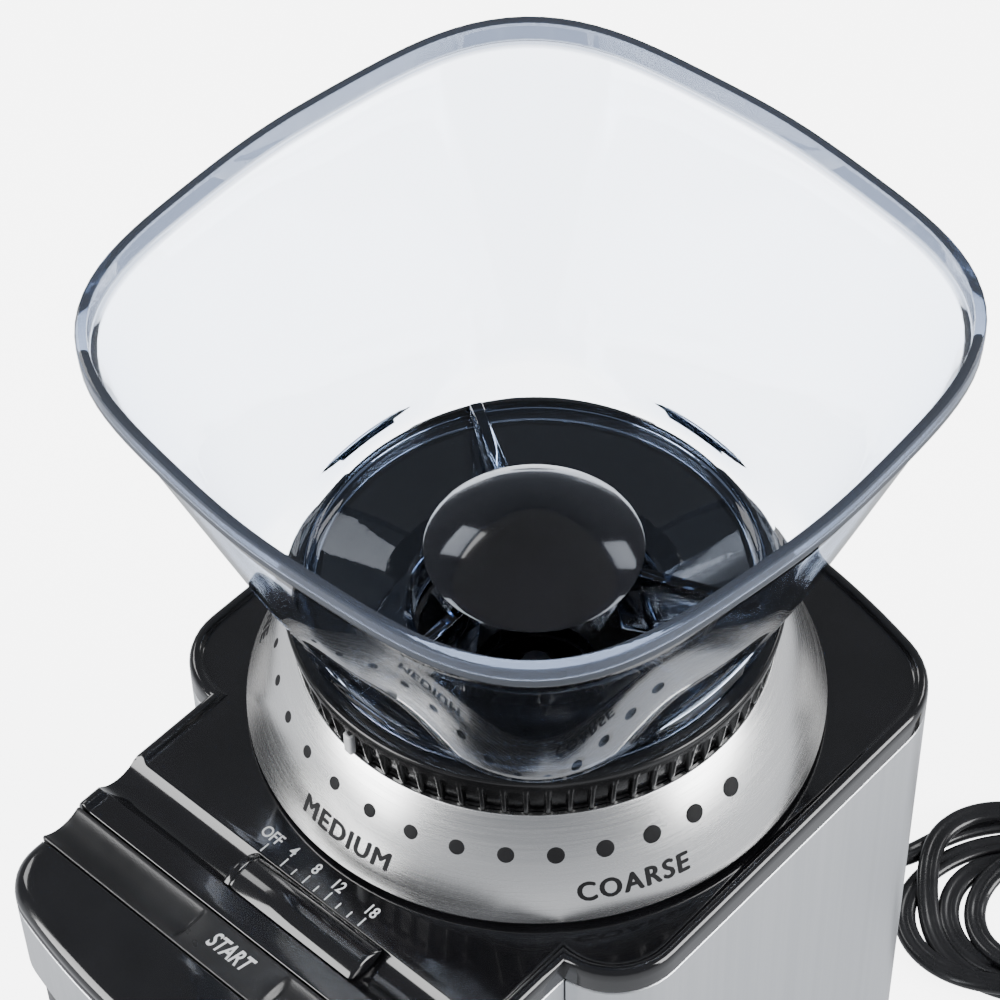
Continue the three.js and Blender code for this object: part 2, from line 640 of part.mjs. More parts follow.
const WHEEL_TOP = LOWER_BURR_TOP - BURR_THICK - GAP;
const WHEEL_BOTTOM = WHEEL_TOP - 4.6;
const SHAFT_R = 4;
const wheel = join(
  hoop(SHAFT_R + GAP, 25.5, WHEEL_BOTTOM, WHEEL_TOP, 24),
  hoop(SHAFT_R + GAP, BURR_HOLE_R - 0.5, WHEEL_TOP - 1, WHEEL_TOP + 3.5, 16),
  ...[0, 90, 180, 270].map((angle) =>
    block(24, CHAMBER_R - 1, -1.2, 1.2, WHEEL_BOTTOM, WHEEL_TOP).rotateZ(rad(angle)),
  ),
);
add("sweeper_wheel", wheel, "blackPlastic", 0, AXIS_Y);
const NUT_BOTTOM = WHEEL_TOP + 3.5 + GAP;
const coneProfile = [
  [0, NUT_BOTTOM + 3],
  [3, NUT_BOTTOM + 3],
  [SHAFT_R + 1.5, NUT_BOTTOM],
  [9.5, NUT_BOTTOM],
  [8, NUT_BOTTOM + 5],
  [3, NUT_BOTTOM + 15],
  [0, NUT_BOTTOM + 16],
];
const feedCone = join(
  turned(coneProfile, 20),
  ...[0, 180].map((angle) => block(3, 10.8, -1, 1, NUT_BOTTOM + 1, NUT_BOTTOM + 6).rotateZ(rad(angle))),
);
add("feed_cone", feedCone, "steel", 0, AXIS_Y);

const CHAMBER_FLOOR = WHEEL_BOTTOM - GAP - 3;
const mouthHalf = CHUTE.half - CHUTE.wall;
const chuteMouth = block(
  -mouthHalf,
  mouthHalf,
  -CHAMBER_R - 8,
  -20,
  WHEEL_BOTTOM - 0.2,
  LOWER_BURR_TOP - 1,
);
const chamber = cut(
  turned([
    [7, CHAMBER_FLOOR],
    [CHAMBER_R + WALL, CHAMBER_FLOOR],
    [CHAMBER_R + WALL, 168],
    [CHAMBER_R, 168],
    [CHAMBER_R, CHAMBER_FLOOR + 3],
    [7, CHAMBER_FLOOR + 3],
  ], 24),
  chuteMouth,
);
const lug = (angle) =>
  cut(
    block(CHAMBER_R + 1, CHAMBER_R + 12, -5, 5, COVER_BOTTOM - 2, 151.8),
    disc(1.7, 0, FAR, 8).translate(CHAMBER_R + 7.5, 0, 0),
  ).rotateZ(rad(angle));
add("burr_chamber", join(chamber, lug(35), lug(145), lug(215), lug(325)), "blackPlastic", 0, AXIS_Y);

// The chute takes the grounds from the chamber wall down through the nose floor.
const chuteSide = (inset) => {
  const top = LOWER_BURR_TOP + 1 - inset;
  const front = CHUTE.front + inset;
  return new THREE.Shape([
    new THREE.Vector2(CHUTE.rear + (inset ? 3 : 0), WHEEL_BOTTOM - 1.5 + inset),
    new THREE.Vector2(CHUTE.rear + (inset ? 3 : 0), top),
    new THREE.Vector2(front + 9, top),
    new THREE.Vector2(front, top - 9),
    new THREE.Vector2(front, NOSE_SHELL_BOTTOM - 0.5 - (inset ? 3 : 0)),
    new THREE.Vector2(CHUTE.rear - 1 - inset, NOSE_SHELL_BOTTOM - 0.5 - (inset ? 3 : 0)),
    new THREE.Vector2(CHUTE.rear - 1 - inset, WHEEL_BOTTOM - 1.5 + inset),
  ]);
};
const chuteSolid = (inset) =>
  prism(chuteSide(inset), -CHUTE.half + inset, CHUTE.half - inset).rotateX(Math.PI / 2).rotateZ(Math.PI / 2);
const chute = cut(
  chuteSolid(0),
  chuteSolid(CHUTE.wall),
  disc(CHAMBER_R + WALL + GAP, 100, 200).translate(0, AXIS_Y, 0),
);
add("chute", chute, "blackPlastic");

// ---- Drive: shaft, gear pair, bearings and gearbox cover ----
const SHAFT_BOTTOM = DECK_Z + 0.5;
add("burr_shaft", disc(SHAFT_R, SHAFT_BOTTOM, NUT_BOTTOM - GAP, 16), "steel", 0, AXIS_Y);
add("lower_bearing", hoop(SHAFT_R + GAP, 7, DECK_Z, DECK_Z + DECK_THICK - 0.5, 20), "brass", 0, AXIS_Y);
const GEAR_BORE = SHAFT_R + GAP;
const gear = cut(
  join(
    prism(gearShape(GEAR_TEETH, 90 + 180 / GEAR_TEETH), GEAR_Z, GEAR_Z + GEAR_WIDTH),
    disc(9, GEAR_Z - 3, GEAR_Z + GEAR_WIDTH + 2, 16),
  ),
  disc(GEAR_BORE, 80, 120, 12),
);
add("drive_gear", gear, "nylon", 0, AXIS_Y);
const MOTOR_SHAFT_R = 2.5;
const pinion = cut(
  prism(gearShape(PINION_TEETH, -90), GEAR_Z - 1, GEAR_Z + GEAR_WIDTH + 1),
  disc(MOTOR_SHAFT_R + GAP, 80, 120, 16),
);
add("motor_pinion", pinion, "brass", 0, MOTOR_Y);

const BOX_TOP = 108;
const boxOutline = (r) =>
  join(
    disc(r + 14.2, 0, 1, 24).translate(0, AXIS_Y, 0),
    disc(r, 0, 1, 20).translate(0, MOTOR_Y, 0),
  );
const boxPart = (r, z0, z1) => boxOutline(r).scale(1, 1, z1 - z0).translate(0, 0, z0);
const gearbox = cut(
  boxPart(11.8, DECK_Z + DECK_THICK + GAP, BOX_TOP),
  boxPart(10.2, DECK_Z, BOX_TOP - 3),
  disc(7.3, 100, 120, 20).translate(0, AXIS_Y, 0),
);
add("gearbox_cover", gearbox, "blackPlastic");
add("upper_bearing", hoop(SHAFT_R + GAP, 7, BOX_TOP - 3, BOX_TOP, 20), "brass", 0, AXIS_Y);

// ---- Motor ----
const canProfile = [
  [6, MOTOR_BOTTOM],
  [MOTOR_R, MOTOR_BOTTOM],
  [MOTOR_R, MOTOR_TOP],
  [MOTOR_SHAFT_R + 2, MOTOR_TOP],
  [MOTOR_SHAFT_R + 2, MOTOR_TOP - 2],
  [MOTOR_R - 1.5, MOTOR_TOP - 2],
  [MOTOR_R - 1.5, MOTOR_BOTTOM + 1.5],
  [6, MOTOR_BOTTOM + 1.5],
];
const windows = [0, 90].flatMap((angle) =>
  [MOTOR_BOTTOM + 5, MOTOR_TOP - 14].map((z) =>
    block(-40, 40, -4, 4, z, z + 7).rotateZ(rad(angle + 45)),
  ),
);
add("motor_can", cut(turned(canProfile, 24), ...windows), "steel", 0, MOTOR_Y);
const STATOR = { inner: 16.8, z0: 36, z1: 67 };
add("stator", hoop(STATOR.inner, MOTOR_R - 1.5 - 2 * GAP, STATOR.z0, STATOR.z1, 24), "copper", 0, MOTOR_Y);
const ROTOR_R = 16;
const armature = turned([
  [0, MOTOR_BOTTOM + 2.2],
  [MOTOR_SHAFT_R, MOTOR_BOTTOM + 2.2],
  [MOTOR_SHAFT_R, STATOR.z0 + 1],
  [ROTOR_R, STATOR.z0 + 1],
  [ROTOR_R, STATOR.z1 - 1],
  [9, STATOR.z1 - 1],
  [9, 76],
  [MOTOR_SHAFT_R, 76],
  [MOTOR_SHAFT_R, GEAR_Z + GEAR_WIDTH + 2],
  [0, GEAR_Z + GEAR_WIDTH + 2],
], 24);
add("armature", armature, "copper", 0, MOTOR_Y);
const FAN = { r: 22, z0: 26, z1: 34 };
const fan = join(
  hoop(MOTOR_SHAFT_R + GAP, 7, FAN.z0, FAN.z1, 20),
  hoop(6.5, FAN.r, FAN.z0, FAN.z0 + 1.2, 20),
  ...[0, 60, 120, 180, 240, 300].map((angle) =>
    block(6, FAN.r - 0.5, -0.6, 0.6, FAN.z0 + 1, FAN.z1).rotateZ(rad(angle)),
  ),
);
add("cooling_fan", fan, "nylon", 0, MOTOR_Y);
for (const [side, sign] of SIDES) {
  const x = [sign * 9.4, sign * 23.8].sort((a, b) => a - b);
  add("brush_" + side, block(x[0], x[1], -3, 3, 69.8, 74.8), "steel", 0, MOTOR_Y);
}
add("motor_mount", hoop(18, MOTOR_R + 1, BASE_TOP + GAP, MOTOR_BOTTOM - GAP, 20), "rubber", 0, MOTOR_Y);

// ---- Electrics in the nose and on the bay wall ----
const boardParts = [
  block(-42, 42, -86, -41, BOARD_Z, BOARD_Z + 1.6),
  block(-38, -26, -60, -48, BOARD_Z + 1, BOARD_Z + 9),
  block(-22, -14, -84, -78, BOARD_Z + 1, BOARD_Z + 5),
  disc(4, BOARD_Z + 1, BOARD_Z + 11, 16).translate(36, -80, 0),
  disc(3, BOARD_Z + 1, BOARD_Z + 9, 14).translate(26, -81, 0),
];
add("timer_board", join(...boardParts), "board");
const potSlot = block(-12, 36, channelMid - 1.6, channelMid + 1.6, 140, 150);
const potBody = block(-13, 40, channelMid - 5, channelMid + 5, BOARD_Z + 2, 145);
add("slide_potentiometer", cut(potBody, potSlot), "steel");
add("start_switch", block(-5, 5, startMid - 3, startMid + 3, BOARD_Z + 2, 141.6), "blackPlastic");
const interlock = join(
  block(28, 40, BAY_WALL_Y + WALL + GAP, 1, 98, 114),
  block(32.8, 35.2, BAY_WALL_Y - 1.4, 0, 104.8, 107.2),
);
add("interlock_switch", interlock, "blackPlastic");

// ---- Grounds container and its lid ----
const CONTAINER_BOTTOM = PLINTH_TOP + GAP;
const container = cut(
  planPrism(CONTAINER, 0, CONTAINER_BOTTOM, CONTAINER_TOP),
  planPrism(CONTAINER, WALL, CONTAINER_BOTTOM + WALL, CONTAINER_TOP + 1),
);
add("grounds_container", container, "smoked");
const GRIP = { half: 22, deep: 8, z0: 114, z1: 123 };
const lidFront = CONTAINER.front.y;
const lidSlot = { half: CHUTE.half + 2, front: CHUTE.front - 2, rear: CONTAINER.rear.y - WALL - 0.5 };
const lid = cut(
  join(
    cut(
      planPrism(CONTAINER, 0, CONTAINER_TOP + GAP, LID_TOP),
      planPrism(CONTAINER, WALL, CONTAINER_TOP, LID_TOP - WALL),
    ),
    common(
      planPrism(CONTAINER, 0.2, CONTAINER_TOP + GAP, LID_TOP - 1),
      block(-GRIP.half - WALL, GRIP.half + WALL, lidFront - 1, lidFront + GRIP.deep + WALL, 100, 130),
    ),
  ),
  block(-GRIP.half, GRIP.half, lidFront - 5, lidFront + GRIP.deep, GRIP.z0, GRIP.z1),
  block(-lidSlot.half, lidSlot.half, lidSlot.front, lidSlot.rear, LID_TOP - 5, LID_TOP + 1),
);
add("container_lid", lid, "blackPlastic");

// ---- Mains lead: gland, a short free run, the hank and the plug lying on it ----
const glandProfile = [
  [0, 82.5],
  [6.6, 82.5],
  [6.6, 84.6],
  [5, 84.6],
  [5, 91],
  [4.4, 92],
  [3.6, GLAND_TIP[1]],
  [0, GLAND_TIP[1]],
];
const gland = turned(glandProfile, SMALL_ROUND).rotateX(-Math.PI / 2);
add("cord_gland", gland, "rubber", GLAND_TIP[0], 0, GLAND_TIP[2]);

// A flat lead's section, kept lying flat along its route.
class LeadRoute extends THREE.CatmullRomCurve3 {
  computeFrenetFrames(segments) {
    const frames = { tangents: [], normals: [], binormals: [] };
    for (let i = 0; i <= segments; i++) {
      const tangent = this.getTangentAt(i / segments);
      const across = new THREE.Vector3(0, 0, 1).cross(tangent).normalize();
      frames.tangents.push(tangent);
      frames.normals.push(across);
      frames.binormals.push(tangent.clone().cross(across));
    }
    return frames;
  }
}
const leadSection = () => {
  const half = LEAD_THICK / 2;
  const shift = LEAD_WIDTH / 2 - half;
  const shape = new THREE.Shape();
  shape.absarc(shift, 0, half, -Math.PI / 2, Math.PI / 2);
  shape.absarc(-shift, 0, half, Math.PI / 2, (3 * Math.PI) / 2);
  return shape;
};
const lead = (points, steps) =>
  new THREE.ExtrudeGeometry(leadSection(), {
    extrudePath: new LeadRoute(points.map((p) => new THREE.Vector3(...p))),
    steps,
    curveSegments: 3,
  });
const FREE_RUN = [
  [22, 106.4, 15],
  [22.3, 110.5, 14.4],
  [23.3, 115, 12.4],
  [25, 119, 9.6],
];
add("cord_run", lead(FREE_RUN, 4), "rubber");

const hankShape = new THREE.Shape();
hankShape.absarc(HANK_ENDS[1], 0, HANK_R, -Math.PI / 2, Math.PI / 2);
hankShape.absarc(HANK_ENDS[0], 0, HANK_R, Math.PI / 2, (3 * Math.PI) / 2);
const hank = prism(hankShape, 0.2, HANK_TOP, 16).rotateZ(rad(HANK_ANGLE));
add("cord_hank", hank, "rubber", HANK_AT[0], HANK_AT[1]);

// A point on the hank: along its length, across it to the left, and its height.
const onHank = (along, across, z) => {
  const place = new THREE.Vector2(along, across).rotateAround(new THREE.Vector2(), rad(HANK_ANGLE));
  return [HANK_AT[0] + place.x, HANK_AT[1] + place.y, z];
};
const PLUG_Z = HANK_TOP + GAP + PLUG_HALF;
const tailRoute = [
  onHank(9, PLUG_SIDE, 8.4),
  onHank(16, PLUG_SIDE, 8.8),
  onHank(23, PLUG_SIDE, 10.8),
  onHank(29, PLUG_SIDE, PLUG_Z - 0.2),
];
add("cord_tail", lead(tailRoute, 4), "rubber");
const plugOutline = new THREE.Shape([
  new THREE.Vector2(0, -4),
  new THREE.Vector2(12, -6),
  new THREE.Vector2(18, -11),
  new THREE.Vector2(40, -11),
  new THREE.Vector2(42, -8),
  new THREE.Vector2(42, 8),
  new THREE.Vector2(40, 11),
  new THREE.Vector2(18, 11),
  new THREE.Vector2(12, 6),
  new THREE.Vector2(0, 4),
]);
const plug = join(
  prism(plugOutline, -PLUG_HALF, PLUG_HALF),
  block(41, 58, -7.1, -5.6, -3.2, 3.2),
  block(41, 58, 5.6, 7.1, -3.2, 3.2),
);
const [plugX, plugY] = onHank(PLUG_START, PLUG_SIDE, 0);
add("plug", plug.rotateZ(rad(HANK_ANGLE)), "rubber", plugX, plugY, PLUG_Z);

export default root;
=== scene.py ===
"""Burr coffee grinder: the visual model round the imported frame. Metres, +Z up, the front faces -Y."""
import math

import bmesh
import bpy
import numpy as np
from mathutils import Matrix, Vector


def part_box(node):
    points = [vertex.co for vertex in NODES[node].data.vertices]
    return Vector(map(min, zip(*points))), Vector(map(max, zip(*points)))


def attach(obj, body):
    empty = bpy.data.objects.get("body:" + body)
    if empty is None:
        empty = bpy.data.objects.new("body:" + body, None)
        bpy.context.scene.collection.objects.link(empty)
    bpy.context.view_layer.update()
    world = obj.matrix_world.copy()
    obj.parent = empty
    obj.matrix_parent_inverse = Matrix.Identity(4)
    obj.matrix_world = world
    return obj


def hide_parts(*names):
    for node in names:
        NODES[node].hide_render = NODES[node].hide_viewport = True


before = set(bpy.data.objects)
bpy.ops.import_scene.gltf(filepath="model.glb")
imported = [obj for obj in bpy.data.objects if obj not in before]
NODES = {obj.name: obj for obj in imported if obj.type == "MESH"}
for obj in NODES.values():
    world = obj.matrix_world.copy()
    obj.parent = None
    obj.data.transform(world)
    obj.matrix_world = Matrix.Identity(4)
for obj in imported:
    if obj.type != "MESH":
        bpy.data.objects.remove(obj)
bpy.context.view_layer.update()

MM = 0.001


def mm(values):
    """Millimetres as metres, for one number or for rows of points."""
    return np.asarray(values, float) * MM


def box_mm(node):
    """A CAD node's lowest and highest corner at rest, in millimetres."""
    low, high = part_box(node)
    return np.array(low) / MM, np.array(high) / MM


def placed(name, data):
    """A mesh, lamp or other data as an object in the scene."""
    made = bpy.data.objects.new(name, data)
    bpy.context.scene.collection.objects.link(made)
    return made


# ---- Camera ----
camera_data = bpy.data.cameras.new("view")
camera_data.lens = 116.69
camera_data.sensor_width = 36
camera_data.clip_start = 0.02
camera_data.clip_end = 30
camera = placed("view", camera_data)
AZIMUTH, ELEVATION, ROLL = math.radians(43.479), math.radians(48.534), math.radians(-1.697)
forward = Vector((
    -math.sin(AZIMUTH) * math.cos(ELEVATION),
    math.cos(AZIMUTH) * math.cos(ELEVATION),
    -math.sin(ELEVATION),
))
level = Vector((math.cos(AZIMUTH), math.sin(AZIMUTH), 0))
upright = level.cross(forward)
right = level * math.cos(ROLL) + upright * math.sin(ROLL)
up = upright * math.cos(ROLL) - level * math.sin(ROLL)
turn = Matrix((right, up, -forward)).transposed()
CAMERA_AT = (285.1, -289.81, 690.94)
camera.matrix_world = Matrix.Translation(mm(CAMERA_AT).tolist()) @ turn.to_4x4()
bpy.context.scene.camera = camera


# ---- Materials ----
class Shader:
    """A Principled material with a few short ways to drive it from noise."""

    def __init__(self, name, color, rough, metal=0.0, **sockets):
        self.mat = bpy.data.materials.new(name)
        self.mat.use_nodes = True
        self.tree = self.mat.node_tree
        self.bsdf = self.tree.nodes["Principled BSDF"]
        self.bsdf.inputs["Base Color"].default_value = (*color, 1)
        self.bsdf.inputs["Roughness"].default_value = rough
        self.bsdf.inputs["Metallic"].default_value = metal
        for socket, value in sockets.items():
            self.bsdf.inputs[socket.replace("_", " ")].default_value = value
        self.place = self.add("ShaderNodeTexCoord").outputs["Object"]

    def add(self, kind, **props):
        """A new shader node with some of its settings."""
        made = self.tree.nodes.new(kind)
        for key, value in props.items():
            setattr(made, key, value)
        return made

    def link(self, source, target):
        self.tree.links.new(source, target)

    def scaled(self, scale, place=None):
        """The object's coordinates stretched by a scale for each axis."""
        made = self.add("ShaderNodeMapping")
        made.inputs["Scale"].default_value = scale
        self.link(place or self.place, made.inputs["Vector"])
        return made.outputs["Vector"]

    def polar(self, along, round_, axis_y):
        """Coordinates that follow an upright axis: height, and turn about the axis."""
        split = self.add("ShaderNodeSeparateXYZ")
        self.link(self.place, split.inputs[0])
        shift = self.add("ShaderNodeMath", operation="SUBTRACT")
        self.link(split.outputs["Y"], shift.inputs[0])
        shift.inputs[1].default_value = axis_y
        angle = self.add("ShaderNodeMath", operation="ARCTAN2")
        self.link(shift.outputs[0], angle.inputs[0])
        self.link(split.outputs["X"], angle.inputs[1])
        made = self.add("ShaderNodeCombineXYZ")
        self.link(angle.outputs[0], made.inputs["X"])
        self.link(split.outputs["Z"], made.inputs["Z"])
        return self.scaled((round_, 1, along), made.outputs[0])

    def noise(self, scale, detail=3.0, place=None, rough=0.5):
        """Noise from 0 to 1 in the object's coordinates, or in other ones."""
        made = self.add("ShaderNodeTexNoise")
        made.inputs["Scale"].default_value = scale
        made.inputs["Detail"].default_value = detail
        made.inputs["Roughness"].default_value = rough
        self.link(place or self.place, made.inputs["Vector"])
        return made.outputs["Fac"]

    def ramp(self, source, low, high, start=0.3, end=0.7):
        """A value that goes from low to high as its source goes from start to end."""
        made = self.add("ShaderNodeMapRange")
        made.inputs["From Min"].default_value = start
        made.inputs["From Max"].default_value = end
        made.inputs["To Min"].default_value = low
        made.inputs["To Max"].default_value = high
        self.link(source, made.inputs["Value"])
        return made.outputs["Result"]

    def roughness(self, source, low, high):
        """Drive the roughness between two values."""
        self.link(self.ramp(source, low, high), self.bsdf.inputs["Roughness"])
        return self

    def colours(self, source, dark, light, start=0.3, end=0.7):
        """Drive the base colour between two colours."""
        mix = self.add("ShaderNodeMix", data_type="RGBA")
        self.link(self.ramp(source, 0, 1, start, end), mix.inputs["Factor"])
        mix.inputs["A"].default_value = (*dark, 1)
        mix.inputs["B"].default_value = (*light, 1)
        self.link(mix.outputs["Result"], self.bsdf.inputs["Base Color"])
        return self

    def bump(self, source, height_mm, strength=1.0):
        """Add relief on top of any relief the material has."""
        made = self.add("ShaderNodeBump")
        made.inputs["Strength"].default_value = strength
        made.inputs["Distance"].default_value = height_mm * MM
        self.link(source, made.inputs["Height"])
        if self.bsdf.inputs["Normal"].is_linked:
            before = self.bsdf.inputs["Normal"].links[0].from_socket
            self.link(before, made.inputs["Normal"])
        self.link(made.outputs["Normal"], self.bsdf.inputs["Normal"])
        return self


def cord_sheath():
    """The lead's soft sheath, with a fine grain and uneven gloss."""
    s = Shader("cord_sheath", (0.012, 0.012, 0.013), 0.24, Coat_Weight=0.3, Coat_Roughness=0.12)
    s.roughness(s.noise(120), 0.2, 0.34)
    s.colours(s.noise(60), (0.010, 0.010, 0.011), (0.020, 0.020, 0.022))
    return s.bump(s.noise(900), 0.03).mat


# ---- Pieces ----
DOUBLED = 2e-6          # points closer than this are one point


def clean_mesh(name, points, faces):
    """A mesh of millimetre points, with doubled points joined and every face turned outward."""
    mesh = bpy.data.meshes.new(name)
    mesh.from_pydata(mm(points).tolist(), [], [list(map(int, f)) for f in faces])
    mesh.validate()
    work = bmesh.new()
    work.from_mesh(mesh)
    bmesh.ops.remove_doubles(work, verts=work.verts, dist=DOUBLED)
    bmesh.ops.recalc_face_normals(work, faces=work.faces)
    work.to_mesh(mesh)
    work.free()
    return mesh


def piece(name, points, faces, material, body, nodes=(), slot=None, smooth=32):
    """A named piece on a body, smooth except at edges sharper than `smooth` degrees."""
    mesh = clean_mesh(name, points, faces)
    mesh.shade_smooth()
    mesh.set_sharp_from_angle(angle=math.radians(smooth))
    mesh.materials.append(material)
    made = placed(name, mesh)
    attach(made, body)
    if nodes:
        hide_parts(*nodes)
    return made


def bridged(rings, closed=False):
    """Rings of equal length joined by quads, with flat ends, or joined last to first."""
    count = len(rings[0])
    points = np.concatenate([np.asarray(r, float) for r in rings])
    faces = []
    pairs = [(i, i + 1) for i in range(len(rings) - 1)]
    if closed:
        pairs.append((len(rings) - 1, 0))
    for a, b in pairs:
        for j in range(count):
            k = (j + 1) % count
            faces.append((a * count + j, a * count + k, b * count + k, b * count + j))
    if not closed:
        faces.append(tuple(range(count))[::-1])
        faces.append(tuple((len(rings) - 1) * count + j for j in range(count)))
    return points, faces


# ---- Mains lead ----
LEAD_WIDTH, LEAD_THICK = 5.6, 3.0
HANK_AT = np.array((54.0, 135.0))
HANK_ANGLE = math.radians(32)
LOW, HIGH = 1.75, 4.95          # centre heights of a strand on the floor and of one that lies on it
OUTER, INNER = 27.0, 21.2       # half widths of the outer and the inner loops


def on_hank(along, across, z):
    """A point given along and across the folded lead."""
    c, s = math.cos(HANK_ANGLE), math.sin(HANK_ANGLE)
    return (HANK_AT[0] + along * c - across * s, HANK_AT[1] + along * s + across * c, z)


def arc(along, across, radius, start, end, z0, z1, count, side=1):
    """Points on an arc in hank coordinates, which climbs smoothly from z0 to z1."""
    made = []
    for t in np.linspace(0, 1, count):
        a = math.radians(start + (end - start) * t)
        rise = t * t * (3 - 2 * t)
        made.append((
            along + side * radius * math.cos(a),
            across + radius * math.sin(a),
            z0 + (z1 - z0) * rise,
        ))
    return made


def far_bend(radius, z0, z1):
    """The half turn at the hank's far end."""
    return arc(40, 0, radius, 90, -90, z0, z1, 9)


FREE_RUN = [(22, 106.4, 15), (22.3, 110.5, 14.4), (23.3, 115, 12.4), (25, 119, 9.6)]
LOOP_A = [
    (-30.3, 4.2, 7.2), (-26.9, 7.4, 4.4), (-23.6, 10.9, 2.3), (-19.3, 15.4, LOW), (-13.2, 20.0, LOW),
    (-6, 23.4, LOW), (3, 25.9, LOW), (14, OUTER, LOW), (27, OUTER, LOW),
]
LOOP_B = [
    (27, -OUTER, LOW), (14, -OUTER, LOW), (4, -26.4, LOW), (-4, -24.6, LOW), (-11.3, -19.9, LOW),
    (-16, -13.2, LOW), (-18.2, -5.6, 2.3), (-19.3, 2.2, 4.2), (-19.2, 9.6, HIGH), (-17.3, 16.6, HIGH),
    (-12.6, 22.2, HIGH), (-5.6, 25.8, HIGH), (3, OUTER, HIGH), (14, OUTER, HIGH), (27, OUTER, HIGH),
]
LOOP_C = [
    (27, -OUTER, HIGH), (14, -OUTER, HIGH), (4, -26.8, HIGH), (-4.5, -26.6, 4.4), (-12.6, -24, 3.4),
    (-19.4, -18.8, 2.3), (-23.6, -11.6, LOW), (-24.1, -3.8, LOW), (-21.0, 3.6, LOW), (-15.6, 10.0, LOW),
    (-9, 14.9, LOW), (-1.5, 18.2, LOW), (7, 20, LOW), (16, 21, LOW), (28, INNER, LOW),
]
LOOP_D = [
    (27, -INNER, LOW), (14, -INNER, LOW), (4.6, -21.2, LOW),
    *arc(3.7, -4.0, 17.2, -72, 74, LOW, LOW, 8, side=-1),
    (8, 13.6, LOW), (15.5, 15.5, 2.6), (23, 18.6, 4.4), (31, 20.8, HIGH),
]
LOOP_E = [
    (27, -INNER, HIGH), (16, -INNER, HIGH), (10.5, -21.3, 4.8),
    *[
        (10.6 - 17.4 * math.cos(math.radians(a)), -3.9 + 17.4 * math.sin(math.radians(a)), z)
        for a, z in ((-66, 4.4), (-44, 3.2), (-22, 2.1), (0, 1.8), (22, 2.4), (44, 4.0), (66, 6.2))
    ],
]
TAIL = [(9, 13.5, 8.2), (16, 13.7, 8.6), (23, 13.6, 10.6), (29, 13.6, 13.4)]
on_floor = [
    *LOOP_A, *far_bend(OUTER, LOW, LOW), *LOOP_B, *far_bend(OUTER, LOW, HIGH), *LOOP_C,
    *far_bend(INNER, LOW, LOW), *LOOP_D, *far_bend(INNER, LOW, HIGH), *LOOP_E, *TAIL,
]
lead_route = np.array(FREE_RUN + [on_hank(*p) for p in on_floor])


def smooth_line(route, step=1.0, passes=30):
    """One smooth line through the route's points, a step apart."""
    ends = [2 * route[0] - route[1], 2 * route[-1] - route[-2]]
    p = np.vstack([ends[0], route, ends[1]])
    dense = []
    for i in range(1, len(p) - 2):
        knots = np.cumsum([0] + [np.linalg.norm(p[i + k] - p[i + k - 1]) ** 0.5 for k in (0, 1, 2)])
        for t in np.linspace(knots[1], knots[2], 24, endpoint=False):
            level = [p[i - 1], p[i], p[i + 1], p[i + 2]]
            for reach in (1, 2):
                level = [
                    ((knots[k + reach] - t) * level[k] + (t - knots[k]) * level[k + 1])
                    / (knots[k + reach] - knots[k])
                    for k in range(len(level) - 1)
                ]
            share = (t - knots[1]) / (knots[2] - knots[1])
            dense.append(level[0] * (1 - share) + level[1] * share)
    dense = np.array([*dense, p[-2]])
    run = np.concatenate([[0], np.cumsum(np.linalg.norm(np.diff(dense, axis=0), axis=1))])
    even = np.linspace(0, run[-1], int(run[-1] / step) + 1)
    line = np.stack([np.interp(even, run, dense[:, k]) for k in range(3)], axis=1)
    for _ in range(passes):
        line[1:-1] = 0.25 * line[:-2] + 0.5 * line[1:-1] + 0.25 * line[2:]
    return line


lead_line = smooth_line(lead_route)


def lead_section(width, thick, groove=0.45, groove_half=0.55, count=28):
    """Two round lobes side by side with a groove between them, as (across, up) points."""
    half = thick / 2
    reach = width / 2 - half
    made = []
    for a in np.linspace(0, 2 * math.pi, count, endpoint=False):
        x = width / 2 * math.cos(a)
        lobe = math.sqrt(max(half**2 - max(abs(x) - reach, 0) ** 2, 0))
        height = max(lobe - groove * math.exp(-((x / groove_half) ** 2)), 0)
        made.append((x, math.copysign(height, math.sin(a)) if abs(math.sin(a)) > 1e-9 else 0))
    return made


def swept(line, section):
    """Sections carried along a line and kept level, with closed ends."""
    tangent = np.gradient(line, axis=0)
    tangent /= np.linalg.norm(tangent, axis=1)[:, None]
    across = np.cross((0, 0, 1), tangent)
    across /= np.linalg.norm(across, axis=1)[:, None]
    above = np.cross(tangent, across)
    return bridged([p + [x * a + z * u for x, z in section] for p, a, u in zip(line, across, above)])


lead = piece(
    "mains_lead", *swept(lead_line, lead_section(LEAD_WIDTH, LEAD_THICK)), cord_sheath(), "body",
    ("cord_run", "cord_hank", "cord_tail"), "rubber", smooth=60,
)

# ---- Shape helpers ----
AXIS_Y = 20.3           # the dial, the burrs and the hopper turn about this upright axis


def filleted(points, radius, steps=4):
    """A closed polygon with rounded corners; radius is one number, or one for each corner."""
    p = np.asarray(points, float)
    radii = np.broadcast_to(np.asarray(radius, float), (len(p),))
    made = []
    for i, corner in enumerate(p):
        a, b = p[i - 1] - corner, p[(i + 1) % len(p)] - corner
        la, lb = np.linalg.norm(a), np.linalg.norm(b)
        a, b = a / la, b / lb
        half = math.acos(float(np.clip(a @ b, -1, 1))) / 2
        if radii[i] <= 0 or half > 1.54:
            made.append(corner)
            continue
        back = min(radii[i] / math.tan(half), 0.46 * min(la, lb))
        r = back * math.tan(half)
        centre = corner + (a + b) / np.linalg.norm(a + b) * r / math.sin(half)
        u, v = corner + a * back - centre, corner + b * back - centre
        sweep = math.pi - 2 * half
        for t in np.linspace(0, 1, steps + 1):
            w = (u * math.sin((1 - t) * sweep) + v * math.sin(t * sweep)) / math.sin(sweep)
            made.append(centre + w)
    return np.array(made)


